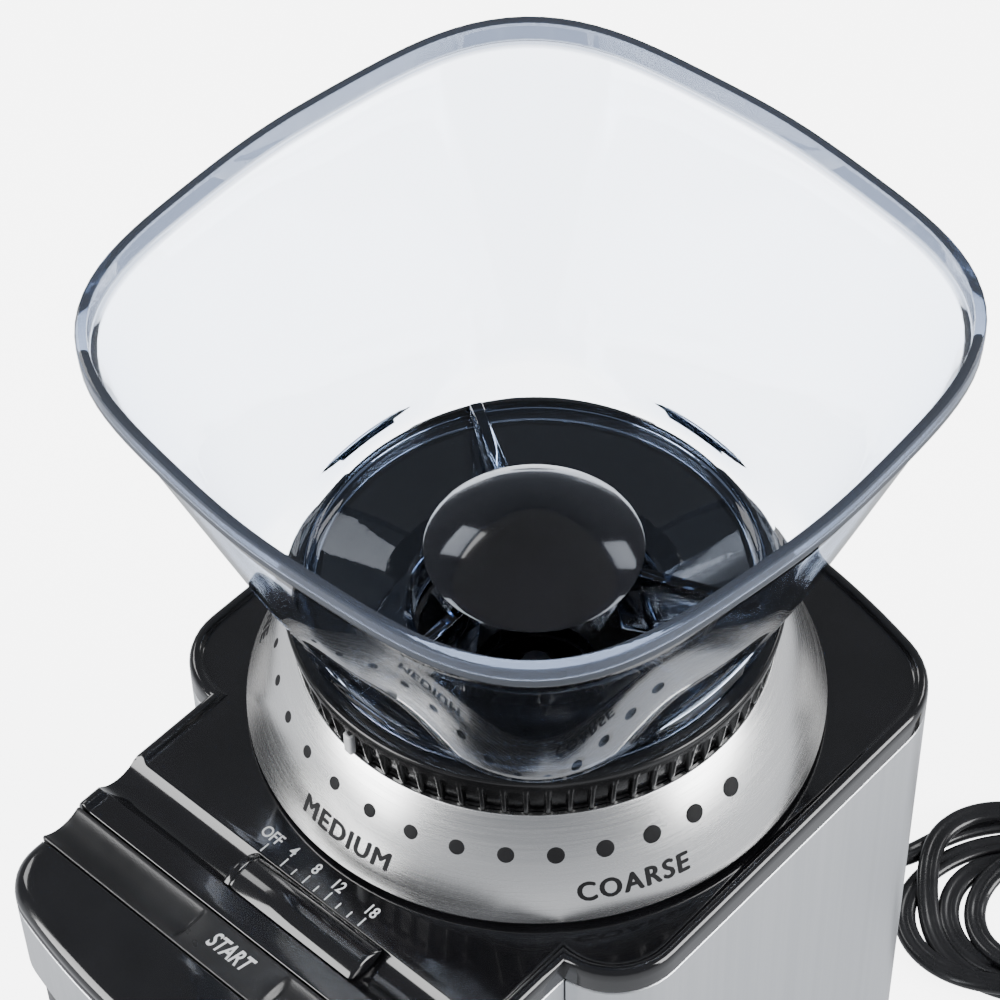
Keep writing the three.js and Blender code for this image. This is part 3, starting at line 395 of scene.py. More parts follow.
def lathed(profile, steps=96, axis=(0, AXIS_Y)):
    """A closed [radius, z] profile turned about an upright axis."""
    angles = full_turn(steps)
    rings = [
        np.stack([axis[0] + r * np.cos(angles), axis[1] + r * np.sin(angles), np.full(steps, z)], axis=1)
        for r, z in profile
    ]
    return bridged(rings, closed=True)


def near(r, z, *offsets):
    """Profile points given by their offsets from one radius, or inset, and height."""
    return [(r + out, z + rise) for out, rise in offsets]


def full_turn(count):
    """Evenly spaced angles round a circle."""
    return np.linspace(0, 2 * math.pi, count, endpoint=False)


def merged(*parts):
    """Several (points, faces) pairs as one."""
    points, faces, base = [], [], 0
    for p, f in parts:
        points.append(np.asarray(p, float))
        faces += [tuple(base + i for i in face) for face in f]
        base += len(p)
    return np.concatenate(points), faces


def turned_by(points, degrees, centre=(0.0, 0.0), move=(0.0, 0.0, 0.0)):
    """Points turned about an upright axis, then moved."""
    c, s = math.cos(math.radians(degrees)), math.sin(math.radians(degrees))
    p = np.array(points, float)
    x, y = p[:, 0] - centre[0], p[:, 1] - centre[1]
    p[:, 0], p[:, 1] = centre[0] + c * x - s * y, centre[1] + s * x + c * y
    return p + np.asarray(move, float)


def slab(x0, x1, y0, y1, z0, z1, round_=0.4, steps=3):
    """A block with rounded upright edges and rounded rims."""
    rings = []
    turns = np.linspace(0, math.pi / 2, steps + 1)
    levels = [(round_ * (1 - math.sin(a)), z0 + round_ * (1 - math.cos(a))) for a in turns]
    levels += [(round_ * (1 - math.cos(a)), z1 - round_ * (1 - math.sin(a))) for a in turns]
    for inset, z in levels:
        near, far = (x0 + inset, y0 + inset), (x1 - inset, y1 - inset)
        outline = [near, (far[0], near[1]), far, (near[0], far[1])]
        rings.append([(x, y, z) for x, y in filleted(outline, max(round_ * 1.6 - inset, 0.05), 3)])
    return bridged(rings)


def drawn_in(outline, levels):
    """An upright plate of an (x, z) outline; each (y, pull) level draws it in towards its middle."""
    reach = outline.mean(axis=0) - outline
    reach /= np.linalg.norm(reach, axis=1)[:, None]
    return bridged([[(x, y, z) for x, z in outline + reach * pull] for y, pull in levels])


class Plan:
    """A plan outline with straight sides and bowed ends, in millimetres."""

    def __init__(self, half, front, rear):
        self.half, self.front, self.rear = half, front, rear

    def end(self, which, inset):
        """The rear end (1) or the front end (-1): its corner and bow radii, centres and angle."""
        y, bow, corner = self.rear if which > 0 else self.front
        half = self.half - inset
        tip = y - which * inset
        radius = max(corner - inset, 0.4)
        bowed = bow - inset
        bow_centre = tip - which * bowed
        across = half - radius
        along = math.sqrt((bowed - radius) ** 2 - across**2)
        return radius, bowed, bow_centre, across, bow_centre + which * along, math.atan2(along, across)

    def corner(self, which, side, inset):
        """The corner arc from the straight side round to the bow."""
        radius, _, _, across, centre, angle = self.end(which, inset)
        return [
            (side * (across + radius * math.cos(a)), centre + which * radius * math.sin(a))
            for a in np.linspace(0, angle, 10)
        ]

    def bow(self, which, inset, count=18):
        """The bowed end from the right corner to the left one, without its end points."""
        _, bowed, bow_centre, _, _, angle = self.end(which, inset)
        turns = np.linspace(angle, math.pi - angle, count)[1:-1]
        return [(bowed * math.cos(a), bow_centre + which * bowed * math.sin(a)) for a in turns]

    def loop(self, inset=0.0):
        """The whole outline, anticlockwise."""
        return [
            *self.corner(1, 1, inset), *self.bow(1, inset), *self.corner(1, -1, inset)[::-1],
            *self.corner(-1, -1, inset), *self.bow(-1, inset)[::-1], *self.corner(-1, 1, inset)[::-1],
        ]


BODY = Plan(65, (-28, 3000, 16), (88.9, 186, 18))
NOSE = Plan(50, (-93.7, 172, 12), (10, 900, 4))
CONTAINER = Plan(48, (-91.9, 170, 11), (-12.2, 900, 6))


def stacked(plan, levels):
    """A closed solid from (inset, z) levels of a plan outline."""
    return bridged([[(x, y, z) for x, y in plan.loop(inset)] for inset, z in levels])


def body_path(inset, edge_x):
    """The body's outline from its right front corner, at x = edge_x, round the back to the left one."""
    radius, _, _, across, centre, _ = BODY.end(-1, inset)
    start = math.acos(min(1.0, max(-1.0, (edge_x - across) / radius)))
    turns = np.linspace(start, 0, 12)
    front = [(across + radius * math.cos(a), centre - radius * math.sin(a)) for a in turns]
    return [
        *front, *BODY.corner(1, 1, inset), *BODY.bow(1, inset, 24), *BODY.corner(1, -1, inset)[::-1],
        *[(-x, y) for x, y in front[::-1]],
    ]


def nose_path(inset, rear_y):
    """The nose's outline from its right side, at y = rear_y, round the front to the left side."""
    half = NOSE.half - inset
    return [
        (half, rear_y), *NOSE.corner(-1, 1, inset), *NOSE.bow(-1, inset, 24),
        *NOSE.corner(-1, -1, inset)[::-1], (-half, rear_y),
    ]


def wrapped(path, section):
    """A band that carries an (inset, z) section along a path, closed at both ends."""
    lines = [(path(inset), z) for inset, z in section]
    return bridged([[(*line[j], z) for line, z in lines] for j in range(len(lines[0][0]))])


# ---- Finishes ----
def tones(color, dark, light, lift=0.0):
    """A darker and a lighter tone of a colour."""
    return tuple(c * dark for c in color), tuple(min(c * light + lift, 1) for c in color)


def moulded(name, color, rough, grain=0.05, **sockets):
    """Moulded plastic with a fine spark-eroded grain and uneven gloss."""
    s = Shader(name, color, rough, **sockets)
    s.roughness(s.noise(140, 4), rough - 0.05, rough + 0.08)
    s.colours(s.noise(45, 5), *tones(color, 0.8, 1.25, 0.002))
    return s.bump(s.noise(2600, 2), grain, 0.5).mat


def polished(name, color, rough=0.07, **sockets):
    """Polished moulded plastic: a mirror with faint handling haze."""
    s = Shader(name, color, rough, Coat_Weight=0.6, Coat_Roughness=0.03, **sockets)
    s.roughness(s.noise(38, 5, rough=0.65), rough, rough + 0.11)
    s.colours(s.noise(70, 4), *tones(color, 0.8, 1.4))
    return s.bump(s.noise(160, 2), 0.006, 0.15).mat


def brushed(name, color, rough, axis, fine=(1, 1, 1), spread=0.0):
    """Brushed steel; axis is "turn" for brushing round the dial, or a stretch for each axis."""
    s = Shader(name, color, rough, 1.0, Anisotropic=spread)
    if axis == "turn":
        along = s.add("ShaderNodeTangent", direction_type="RADIAL", axis="Z")
        s.link(along.outputs["Tangent"], s.bsdf.inputs["Tangent"])
    place = s.polar(2600, 1.6, AXIS_Y * MM) if axis == "turn" else s.scaled(axis)
    lines = s.noise(1.0, 6, place, 0.7)
    broad = s.noise(1.0, 3, s.polar(300, 0.9, AXIS_Y * MM) if axis == "turn" else s.scaled(fine), 0.6)
    s.roughness(lines, rough - 0.04, rough + 0.08)
    s.colours(broad, *tones(color, 0.955, 1.02))
    return s.bump(lines, 0.008, 0.25).mat


def metal(name, color, rough):
    """Machined or drawn metal with fine tool marks and slight staining."""
    s = Shader(name, color, rough, 1.0)
    s.roughness(s.noise(420, 4), rough - 0.08, rough + 0.12)
    s.colours(s.noise(60, 5), *tones(color, 0.75, 1.1))
    return s.bump(s.noise(1400, 3, s.scaled((1, 1, 5))), 0.015, 0.5).mat


# Painted shade: the hopper rim band's dark colour stands in for the shade its long light paths give
RIM_PAINTED_SHADE = (0.17, 0.195, 0.25)


def clear(name, color, rough=0.01, body=(0.47, 0.58, 0.75), density=230.0, rim=None):
    """Clear moulded plastic, darker the thicker it is; above the height `rim` it is painted darker and less
    clear, as painted shade for the dark rim band.
    """
    s = Shader(name, color, rough, Transmission_Weight=1.0, IOR=1.49)
    absorb = s.add("ShaderNodeVolumeAbsorption")
    absorb.inputs["Color"].default_value = (*body, 1)
    absorb.inputs["Density"].default_value = density
    s.link(absorb.outputs["Volume"], s.tree.nodes["Material Output"].inputs["Volume"])
    s.roughness(s.noise(30, 4), rough, rough + 0.03)
    if rim is not None:
        split = s.add("ShaderNodeSeparateXYZ")
        s.link(s.place, split.inputs[0])
        start, end = rim - 0.4 * MM, rim + 0.3 * MM
        # Painted shade: above the rim height the colour darkens and less light passes through
        s.colours(split.outputs["Z"], color, RIM_PAINTED_SHADE, start, end)
        solid = s.ramp(split.outputs["Z"], 1.0, 0.72, start, end)
        s.link(solid, s.bsdf.inputs["Transmission Weight"])
    return s.bump(s.noise(45, 2), 0.05, 0.12).mat


def rubbery(name, color, rough):
    """Soft rubber or PVC: dull, with a coarse grain."""
    s = Shader(name, color, rough)
    s.roughness(s.noise(300, 4), rough - 0.1, rough + 0.1)
    s.colours(s.noise(90, 5), *tones(color, 0.75, 1.5))
    return s.bump(s.noise(1200, 3), 0.06, 0.6).mat


SATIN = moulded("satin_black_plastic", (0.017, 0.017, 0.018), 0.3)
MATTE = moulded("matt_black_plastic", (0.022, 0.022, 0.024), 0.48, 0.08)
GLOSS = polished("gloss_black_plastic", (0.006, 0.006, 0.007))
DOME = polished("smoked_dome_plastic", (0.010, 0.0095, 0.0105), 0.04)
SHELL_STEEL = brushed("brushed_shell_steel", (0.78, 0.80, 0.825), 0.38, (3400, 3400, 9), (500, 500, 3))
SKIRT_STEEL = brushed("brushed_dial_steel", (0.90, 0.90, 0.895), 0.24, "turn", spread=0.6)
MACHINED = metal("machined_steel", (0.52, 0.53, 0.54), 0.34)
# Steel coloured near black: painted shade for the dark throat where the burrs and the feed cone sit
THROAT_SHADE_STEEL = metal("steel_with_painted_throat_shade", (0.11, 0.11, 0.115), 0.5)
RING_BLACK = moulded("ring_black_plastic", (0.006, 0.006, 0.0065), 0.17, 0.03)
HOPPER_CLEAR = clear("clear_hopper_plastic", (0.975, 0.985, 1.0), rim=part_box("hopper")[1].z - 5.4 * MM)
RIB_CLEAR = clear("clear_rib_plastic", (0.93, 0.95, 0.98), density=120.0)
SMOKED = clear("smoked_container_plastic", (0.5, 0.5, 0.53), 0.03, (0.3, 0.31, 0.34), 900.0)
RUBBER = rubbery("foot_rubber", (0.03, 0.03, 0.032), 0.7)
PLUG_PVC = rubbery("plug_pvc", (0.016, 0.016, 0.017), 0.42)
NYLON = moulded("natural_nylon", (0.74, 0.70, 0.60), 0.42)
COPPER = metal("varnished_copper", (0.60, 0.29, 0.13), 0.3)
BRASS = metal("turned_brass", (0.72, 0.53, 0.24), 0.26)
BOARD = moulded("board_green", (0.03, 0.17, 0.07), 0.34)
WHITE_INK = moulded("white_ink", (0.80, 0.81, 0.82), 0.5, 0.02)
GREY_INK = moulded("grey_ink", (0.014, 0.014, 0.015), 0.55, 0.02, Specular_IOR_Level=0.15)
POINTER = moulded("pointer_white_plastic", (0.62, 0.63, 0.64), 0.35)

# ---- Bean hopper ----
HOPPER_TOP = box_mm("hopper")[1][2]
LEDGE_Z = HOPPER_TOP - 5.5
FLOOR_Z = 192.8
BOWL_Z = FLOOR_Z + 5.5
MOUTH_R, BOWL_R, COLLAR_R, THROAT_R = 77.9, 52.6, 47.0, 25.0
THROAT_Z = 183.7
HOPPER_TURN = -2.5


def smoothstep(t):
    """An even change from 0 to 1 with level ends."""
    t = min(max(t, 0.0), 1.0)
    return t * t * (3 - 2 * t)


def squareness(z):
    """How square the hopper's wall is at a height; 0 is round."""
    return smoothstep((z - FLOOR_Z - 0.5) / 5) * (1.16 - 0.16 * (z - FLOOR_Z) / (HOPPER_TOP - FLOOR_Z))


def squared(points):
    """Rings about the dial axis opened out into the hopper's rounded square."""
    p = np.array(points, float)
    x, y = p[:, 0], p[:, 1] - AXIS_Y
    angle = np.arctan2(y, x)
    wave = -0.0687 * np.cos(4 * angle) + 0.0108 * np.cos(8 * angle)
    k = 1 + np.array([squareness(z) for z in p[:, 2]]) * wave
    p[:, 0], p[:, 1] = x * k, AXIS_Y + y * k
    return turned_by(p, HOPPER_TURN, (0, AXIS_Y))


def stepped_floor():
    """The funnel floor from the throat out to the wall, with fine moulded steps."""
    made = []
    for r in np.linspace(THROAT_R + 2, COLLAR_R - 3.4, 9):
        z = THROAT_Z + (FLOOR_Z - THROAT_Z) * (r - THROAT_R) / (COLLAR_R - 1.5 - THROAT_R)
        made += [(r - 0.25, z - 0.1), (r + 0.05, z + 0.22)]
    return made


def bowl_wall(out, rise, shares):
    """Points up the bowl's straight wall, moved out and up by the given amounts."""
    reach, height = MOUTH_R - 1.4 - BOWL_R, LEDGE_Z - BOWL_Z
    return [(BOWL_R + out + reach * t, BOWL_Z + rise + height * t) for t in shares]


hopper_profile = [
    *near(THROAT_R, 175, (0.1, 0.2), (0.9, 0), (1.8, 0.3)), (THROAT_R + 1.8, THROAT_Z - 1.2),
    (COLLAR_R - 1.8, FLOOR_Z - 2.1),
    *near(COLLAR_R, 188, (-1.8, 0.5), (-1.4, 0.2), (-0.3, 0.25), (0, 0.6), (0, 2.2), (-0.25, 2.5), (0, 2.8)),
    *near(COLLAR_R, FLOOR_Z, (0, -0.4), (0.5, 0.1), (2.2, 1), (3.6, 2.2), (4.8, 3.9)),
    (BOWL_R + 0.1, BOWL_Z + 0.3), *bowl_wall(0, 0, np.linspace(0.08, 0.92, 12)),
    *near(MOUTH_R, LEDGE_Z, (-1.45, -0.5), (-1.2, -0.05), (-0.5, 0.12), (-0.22, 0.45), (-0.2, 0.8)),
    *near(MOUTH_R, HOPPER_TOP, (-0.03, -1), (-0.02, -0.7), (-0.2, -0.2), (-0.7, 0)),
    *near(MOUTH_R, HOPPER_TOP, (-1.6, 0), (-2.05, -0.2), (-2.2, -0.7), (-2.21, -1)),
    *near(MOUTH_R, LEDGE_Z, (-2.24, 1.3), (-2.25, 1), (-2.5, 0.5), (-3.3, 0.1), (-3.65, -0.5)),
    *bowl_wall(-2.2, 0.5, np.linspace(0.92, 0.08, 12)), (BOWL_R - 2.2, BOWL_Z + 0.8),
    *near(COLLAR_R, FLOOR_Z, (2.6, 4.2), (1.2, 2.7), (0.2, 1.6), (-0.6, 0.5), (-1.6, 0)),
    *stepped_floor()[::-1], *near(THROAT_R, THROAT_Z, (0.5, 0), (0.1, -0.4)),
]
hopper_points, hopper_faces = lathed(hopper_profile, 144)
piece(
    "bean_hopper_wall", squared(hopper_points), hopper_faces, HOPPER_CLEAR, "bean_hopper",
    ("hopper",), "clear_plastic", smooth=40,
)

GUARD_Z, GUARD_R = 199.8, 22.2
RIB_SIDE = [
    (1.5, GUARD_Z - 7.9), (16.6, GUARD_Z - 7.9), (18.4, THROAT_Z - 2.9), (24.6, THROAT_Z - 2.9),
    (24.8, THROAT_Z + 0.3), (COLLAR_R - 1.6, FLOOR_Z + 0.15), (COLLAR_R - 1.0, FLOOR_Z + 2.5),
    (20.4, GUARD_Z - 1.1), (1.5, GUARD_Z - 1.1),
]


def rib(degrees):
    """One rib of the guard's frame: an upright web with rounded edges that drops into the throat."""
    levels = ((-1.3, 0.35), (-1.2, 0.1), (-0.95, 0.0), (0.95, 0.0), (1.2, 0.1), (1.3, 0.35))
    points, faces = drawn_in(filleted(RIB_SIDE, 0.8, 3), levels)
    return turned_by(points, degrees, (0, 0), (0, AXIS_Y, 0)), faces


hub = filleted([(0.0, GUARD_Z - 8), (4, GUARD_Z - 8), (4, GUARD_Z - 1), (0.0, GUARD_Z - 1)], (0, 0.5, 0.5, 0))
piece(
    "hopper_ribs", *merged(*[rib(a + HOPPER_TURN) for a in (30, 150, 270)], lathed(hub, 32)), RIB_CLEAR,
    "bean_hopper", (), "clear_plastic", smooth=40,
)


def dome(radius, z, rise, count):
    """Points of a shallow dome's arc from its rim in to the axis."""
    ball = (radius**2 + rise**2) / (2 * rise)
    return [(r, z + rise - ball + math.sqrt(ball**2 - r**2)) for r in np.linspace(radius, 0, count)]


guard_outer = dome(GUARD_R - 0.25, GUARD_Z + 0.75, 6.55, 22)
guard_inner = dome(GUARD_R - 1.8, GUARD_Z + 0.15, 4.7, 10)[::-1]
guard_profile = [
    (0.0, guard_inner[0][1]), *guard_inner[1:], (GUARD_R - 1.2, GUARD_Z), (GUARD_R - 0.4, GUARD_Z),
    (GUARD_R, GUARD_Z + 0.25), (GUARD_R, GUARD_Z + 0.5), *guard_outer,
]
piece("bean_guard_dome", *lathed(guard_profile, 96), DOME, "bean_hopper", ("bean_guard",), "gloss_black")

# ---- Grind ring ----
RING_BOTTOM, RING_TOP, TOOTH_TOP = 177.5, 189.5, 186.0
RING_R_LOW, RING_R_HIGH = 49.4, 51.2
RING_TEETH, SLOT_DEPTH, RIB_SHARE = 72, 1.25, 0.2
POINTER_TURN = -95.25
SLOT_COLUMNS = [
    (0.0, 0.0), (RIB_SHARE / 2 - 0.03, 0.0), (RIB_SHARE / 2, 0.12), (RIB_SHARE / 2 + 0.045, 0.8),
    (RIB_SHARE / 2 + 0.09, 1.0), (0.35, 1.0), (0.5, 1.0), (0.65, 1.0), (1 - RIB_SHARE / 2 - 0.09, 1.0),
    (1 - RIB_SHARE / 2 - 0.045, 0.8), (1 - RIB_SHARE / 2, 0.12), (1 - RIB_SHARE / 2 + 0.03, 0.0),
]


def ring_radius(z):
    """The knurled ring's outer radius at a height."""
    return RING_R_LOW + (RING_R_HIGH - RING_R_LOW) * (z - RING_BOTTOM) / (RING_TOP - RING_BOTTOM)


def ring_mesh():
    """Thin upright ribs with open slots between them, under a plain band."""
    columns = []
    for tooth in range(RING_TEETH):
        for share, depth in SLOT_COLUMNS:
            columns.append((math.radians(POINTER_TURN + (tooth + share) * 360 / RING_TEETH), share, depth))
    rings = []

    def ring_at(radius_of):
        """Add a ring whose radius and height come from each column's share of its pitch and depth."""
        rings.append([
            (r * math.cos(a), AXIS_Y + r * math.sin(a), z)
            for a, share, depth in columns for r, z in [radius_of(share, depth)]
        ])

    def slot_end(share):
        """Height where the slot's rounded end closes."""
        off = abs(share - 0.5) / (0.5 - RIB_SHARE / 2)
        return TOOTH_TOP - 0.55 * min(off, 1.0) ** 4

    for z, inset in ((RING_BOTTOM, 0.35), (RING_BOTTOM + 0.1, 0.1), (RING_BOTTOM + 0.35, 0.0)):
        ring_at(lambda s, d, z=z, inset=inset: (ring_radius(z) - inset - d * SLOT_DEPTH, z))
    for t in (0.3, 0.6, 0.9, 1.0):
        def mid(share, depth, t=t):
            z = RING_BOTTOM + 0.35 + (slot_end(share) - 0.5 - RING_BOTTOM - 0.35) * t
            return ring_radius(z) - depth * SLOT_DEPTH, z
        ring_at(mid)
    for lift, share in ((0.2, 0.9), (0.4, 0.55), (0.5, 0.2), (0.6, 0.0)):
        ring_at(lambda s, d, lift=lift, share=share: (
            ring_radius(slot_end(s) - 0.5 + lift) - d * SLOT_DEPTH * share, slot_end(s) - 0.5 + lift))
    lips = [
        (0.0, 187.2), (0.0, 188.5), (0.1, 188.95), (0.35, 189.3), (0.75, 189.47), (1.2, RING_TOP),
        (3.1, RING_TOP), (3.5, 189.3), (3.62, 188.9), (3.62, 187.9), (4.0, 187.7), (5.9, 187.7),
    ]
    for inset, z in lips:
        ring_at(lambda s, d, inset=inset, z=z: (ring_radius(min(z, RING_TOP)) - inset, z))
    ring_at(lambda s, d: (45.15, RING_BOTTOM + 0.2))
    ring_at(lambda s, d: (45.35, RING_BOTTOM))
    return bridged(rings, closed=True)


piece(
    "grind_ring_knurled", *ring_mesh(), RING_BLACK, "grind_ring", ("adjust_ring",), "black_plastic",
    smooth=50,
)
tab = slab(ring_radius(182) - 0.9, ring_radius(182) + 0.75, -1.15, 1.15, RING_BOTTOM + 0.5, 183.4, 0.35)
piece(
    "pointer_tab_moulded", turned_by(tab[0], POINTER_TURN, (0, 0), (0, AXIS_Y, 0)), tab[1], POINTER,
    "grind_ring", ("pointer_tab",), "pointer_white",
)
lug = slab(COLLAR_R + 0.35, COLLAR_R + 3.6, -3.4, 3.4, 189.6, 190.5, 0.3)
piece(
    "collar_mark", turned_by(lug[0], -47, (0, 0), (0, AXIS_Y, 0)), lug[1], RIB_CLEAR,
    "bean_hopper", (), "clear_plastic",
)

# ---- Dial skirt, its moulded cone and its markings ----
SKIRT_LOW, SKIRT_HIGH = 156.3, 177.2
SKIRT_R_LOW, SKIRT_R_HIGH = 61.0, 49.6
SLOPE = math.hypot(SKIRT_R_LOW - SKIRT_R_HIGH, SKIRT_HIGH - SKIRT_LOW)
SLOPE_OUT = (SKIRT_R_LOW - SKIRT_R_HIGH) / SLOPE
SLOPE_UP = (SKIRT_HIGH - SKIRT_LOW) / SLOPE
skirt_profile = filleted([
    (SKIRT_R_LOW - 1.2, SKIRT_LOW), (SKIRT_R_LOW, SKIRT_LOW), (SKIRT_R_HIGH, SKIRT_HIGH),
    (SKIRT_R_HIGH - 1.2, SKIRT_HIGH),
], (0.3, 0.4, 0.45, 0.2))
piece(
    "dial_skirt_brushed", *lathed(skirt_profile, 192), SKIRT_STEEL, "body", ("dial_skirt",),
    "brushed_steel",
)
cone_profile = filleted([
    (34.2, 155.35), (58.6, 155.35), (47.9, 176.8), (45.7, 176.8), (45.7, 174.2), (34.2, 158),
], 0.5)
piece("dial_cone_moulded", *lathed(cone_profile, 96), MATTE, "body", ("dial_base",), "black_plastic")


def on_skirt(degrees, z0, along, upward, proud):
    """A point on the skirt's cone: along it and up it from a place, and proud of its surface."""
    z = z0 + upward * SLOPE_UP
    radius = SKIRT_R_LOW - (z - SKIRT_LOW) * SLOPE_OUT / SLOPE_UP
    angle = math.radians(degrees) + along / radius
    radius += proud * SLOPE_UP
    return (radius * math.cos(angle), AXIS_Y + radius * math.sin(angle), z + proud * SLOPE_OUT)


DOT_COUNT, DOT_PITCH, DOT_START, DOT_Z = 18, 10.5, -2.0, 169.6
dots = []
for i in range(DOT_COUNT):
    size = 2.1 - 1.3 * i / (DOT_COUNT - 1)
    place = (DOT_START - i * DOT_PITCH, DOT_Z)
    dots.append(bridged([
        [
            on_skirt(*place, size * reach * math.cos(a), size * reach * math.sin(a), proud)
            for a in full_turn(24)
        ]
        for reach, proud in ((1.0, -0.3), (1.0, 0.02), (0.93, 0.06), (0.5, 0.07))
    ]))
piece("dial_dots", *merged(*dots), GREY_INK, "body", (), "black_plastic")


def as_mesh(held):
    """An object's points and faces with its modifiers or curve worked out."""
    bpy.context.view_layer.update()
    mesh = bpy.data.meshes.new_from_object(held.evaluated_get(bpy.context.evaluated_depsgraph_get()))
    points = np.array([v.co[:] for v in mesh.vertices])
    faces = [tuple(f.vertices) for f in mesh.polygons]
    bpy.data.meshes.remove(mesh)
    return points, faces


def lettering(text, size, shear=0.0, bold=0.0, spacing=1.0):
    """A word's outline as flat solid letters, (points, faces), centred, in millimetres."""
    curve = bpy.data.curves.new("word", "FONT")
    curve.body = text
    curve.size = size
    curve.shear = shear
    curve.offset = bold
    curve.space_character = spacing
    curve.align_x = "CENTER"
    curve.align_y = "CENTER"
    curve.extrude = 0.1
    curve.resolution_u = 4
    held = placed("word", curve)
    points, faces = as_mesh(held)
    bpy.data.objects.remove(held)
    bpy.data.curves.remove(curve)
    return points, faces


WORD_SIZE, WORD_Z, SUNK = 5.7, 161.9, -0.3


def skirt_word(text, degrees, shift, lift, proud):
    """One pass of a word on the skirt, shifted a little and standing proud of it."""
    points, faces = lettering(text, WORD_SIZE, spacing=1.16)
    heights = np.where(points[:, 2] > 0, proud, SUNK)
    return [
        on_skirt(degrees, WORD_Z, x + shift, y + lift, h) for (x, y, _), h in zip(points, heights)
    ], faces


WORDS = (("MEDIUM", -90), ("COARSE", -28.5), ("FINE", -152))
# Shift along, shift up and height of each pass of the ink, which together make the strokes bold
STROKES = ((-0.24, 0.0, 0.05), (0.0, 0.12, 0.06), (0.24, 0.0, 0.07), (0.0, -0.12, 0.08))
words = [skirt_word(text, degrees, *stroke) for text, degrees in WORDS for stroke in STROKES]
piece("dial_words", *merged(*words), GREY_INK, "body", (), "black_plastic", smooth=20)

# ---- Top cover ----
COVER_BOTTOM, FIELD_Z, SKIN, DIAL_HOLE_R = 149.5, 155.0, 1.7, 33.4
START_Y, START_FLOOR = (-75.1, -64.3), 149.6
CHANNEL_Y, CHANNEL_DEPTH = (-58.5, -48.4), 2.4
CHANNEL_MID = sum(CHANNEL_Y) / 2
CHANNEL_HALF = (CHANNEL_Y[1] - CHANNEL_Y[0]) / 2
CHANNEL_R = (CHANNEL_HALF**2 + CHANNEL_DEPTH**2) / (2 * CHANNEL_DEPTH)
EDGE = [(0.3, COVER_BOTTOM), (0.0, COVER_BOTTOM + 0.3)]
BEAD = [
    *EDGE, (0.0, 153.2), (0.06, 154.6), (0.3, 155.35), (0.75, 155.8), (1.3, 155.98), (1.9, 155.95),
    (2.4, 155.72), (2.8, 155.35), (3.2, 155.08), (3.7, FIELD_Z),
]
FRONT_ROLL = [
    *EDGE, (0.0, 150.8), (0.16, 151.05), (0.16, 151.35), (0.0, 151.7), (0.25, 153.0), (0.8, 153.9),
    (1.5, 154.45), (2.3, 154.8), (3.0, 154.95), (3.7, FIELD_Z),
]
SOFT_EDGE = ((0.3, 0.04), (0.12, 0.14), (0.03, 0.3), (0.0, 0.5))    # distance out from a channel, and drop
side_stations = [(-77.1, "plain", 0), (START_Y[0] - 0.5, "drop", 0)]
side_stations += [(START_Y[0] - d, "drop", h) for d, h in SOFT_EDGE]
side_stations += [(START_Y[0], "floor", 0), (START_Y[1], "floor", 0)]
side_stations += [(START_Y[1] + d, "drop", h) for d, h in SOFT_EDGE[::-1]]
side_stations += [(START_Y[1] + 0.5, "plain", 0), (-61.5, "plain", 0)]
for y in np.concatenate([
    np.linspace(-5.9, -4.6, 9), np.linspace(-4.2, 4.2, 15), np.linspace(4.6, 5.9, 9),
]):
    side_stations.append((CHANNEL_MID + y, "trough", 0))
side_stations += [(-46.5, "plain", 0), (-40.0, "plain", 0), (-33.0, "plain", 0)]
FIRST_REAR = next(i for i, s in enumerate(side_stations) if s[0] == START_Y[1])
LAST_CHANNEL = next(i for i, s in enumerate(side_stations) if s[0] == -46.5)


def soft_min(a, b, k):
    """The smaller of two heights, with the change from one to the other rounded over k."""
    h = min(max(0.5 + 0.5 * (b - a) / k, 0), 1)
    return b + (a - b) * h - k * h * (1 - h)


def cut_height(z, station):
    """The cover's height at a side station, where a channel may cut it."""
    y, kind, drop = station
    if kind == "drop":
        return z - drop if z > FIELD_Z - 0.9 else z
    if kind == "floor":
        return min(z, START_FLOOR)
    if kind == "trough":
        off = y - CHANNEL_MID
        floor_z = FIELD_Z - CHANNEL_DEPTH + CHANNEL_R - math.sqrt(CHANNEL_R**2 - off**2)
        return soft_min(z, floor_z, 0.25) if z > FIELD_Z - CHANNEL_DEPTH - 1.5 else z
    return z


def cover_front(inset):
    """The nose's front from the left side to the right one, without its end points."""
    left, right = NOSE.corner(-1, -1, inset), NOSE.corner(-1, 1, inset)[::-1]
    return [*left[1:], *NOSE.bow(-1, inset, 24)[::-1], *right[:-1]]


def cover_ring(k):
    """Ring k of the cover's edge: the bead behind the start bar, the roll in front of it."""
    (bead, bead_z), (roll, roll_z) = BEAD[k], FRONT_ROLL[k]
    right, left = [], []
    for i, station in enumerate(side_stations):
        inset, z = FRONT_ROLL[k] if i < FIRST_REAR else BEAD[k]
        for side, sign in ((right, 1), (left, -1)):
            side.append((sign * (NOSE.half - inset), station[0], cut_height(z, station)))
    back = [(x, y, bead_z) for x, y in body_path(bead, NOSE.half - bead)]
    return [*right, *back, *left[::-1], *[(x, y, roll_z) for x, y in cover_front(roll)]]


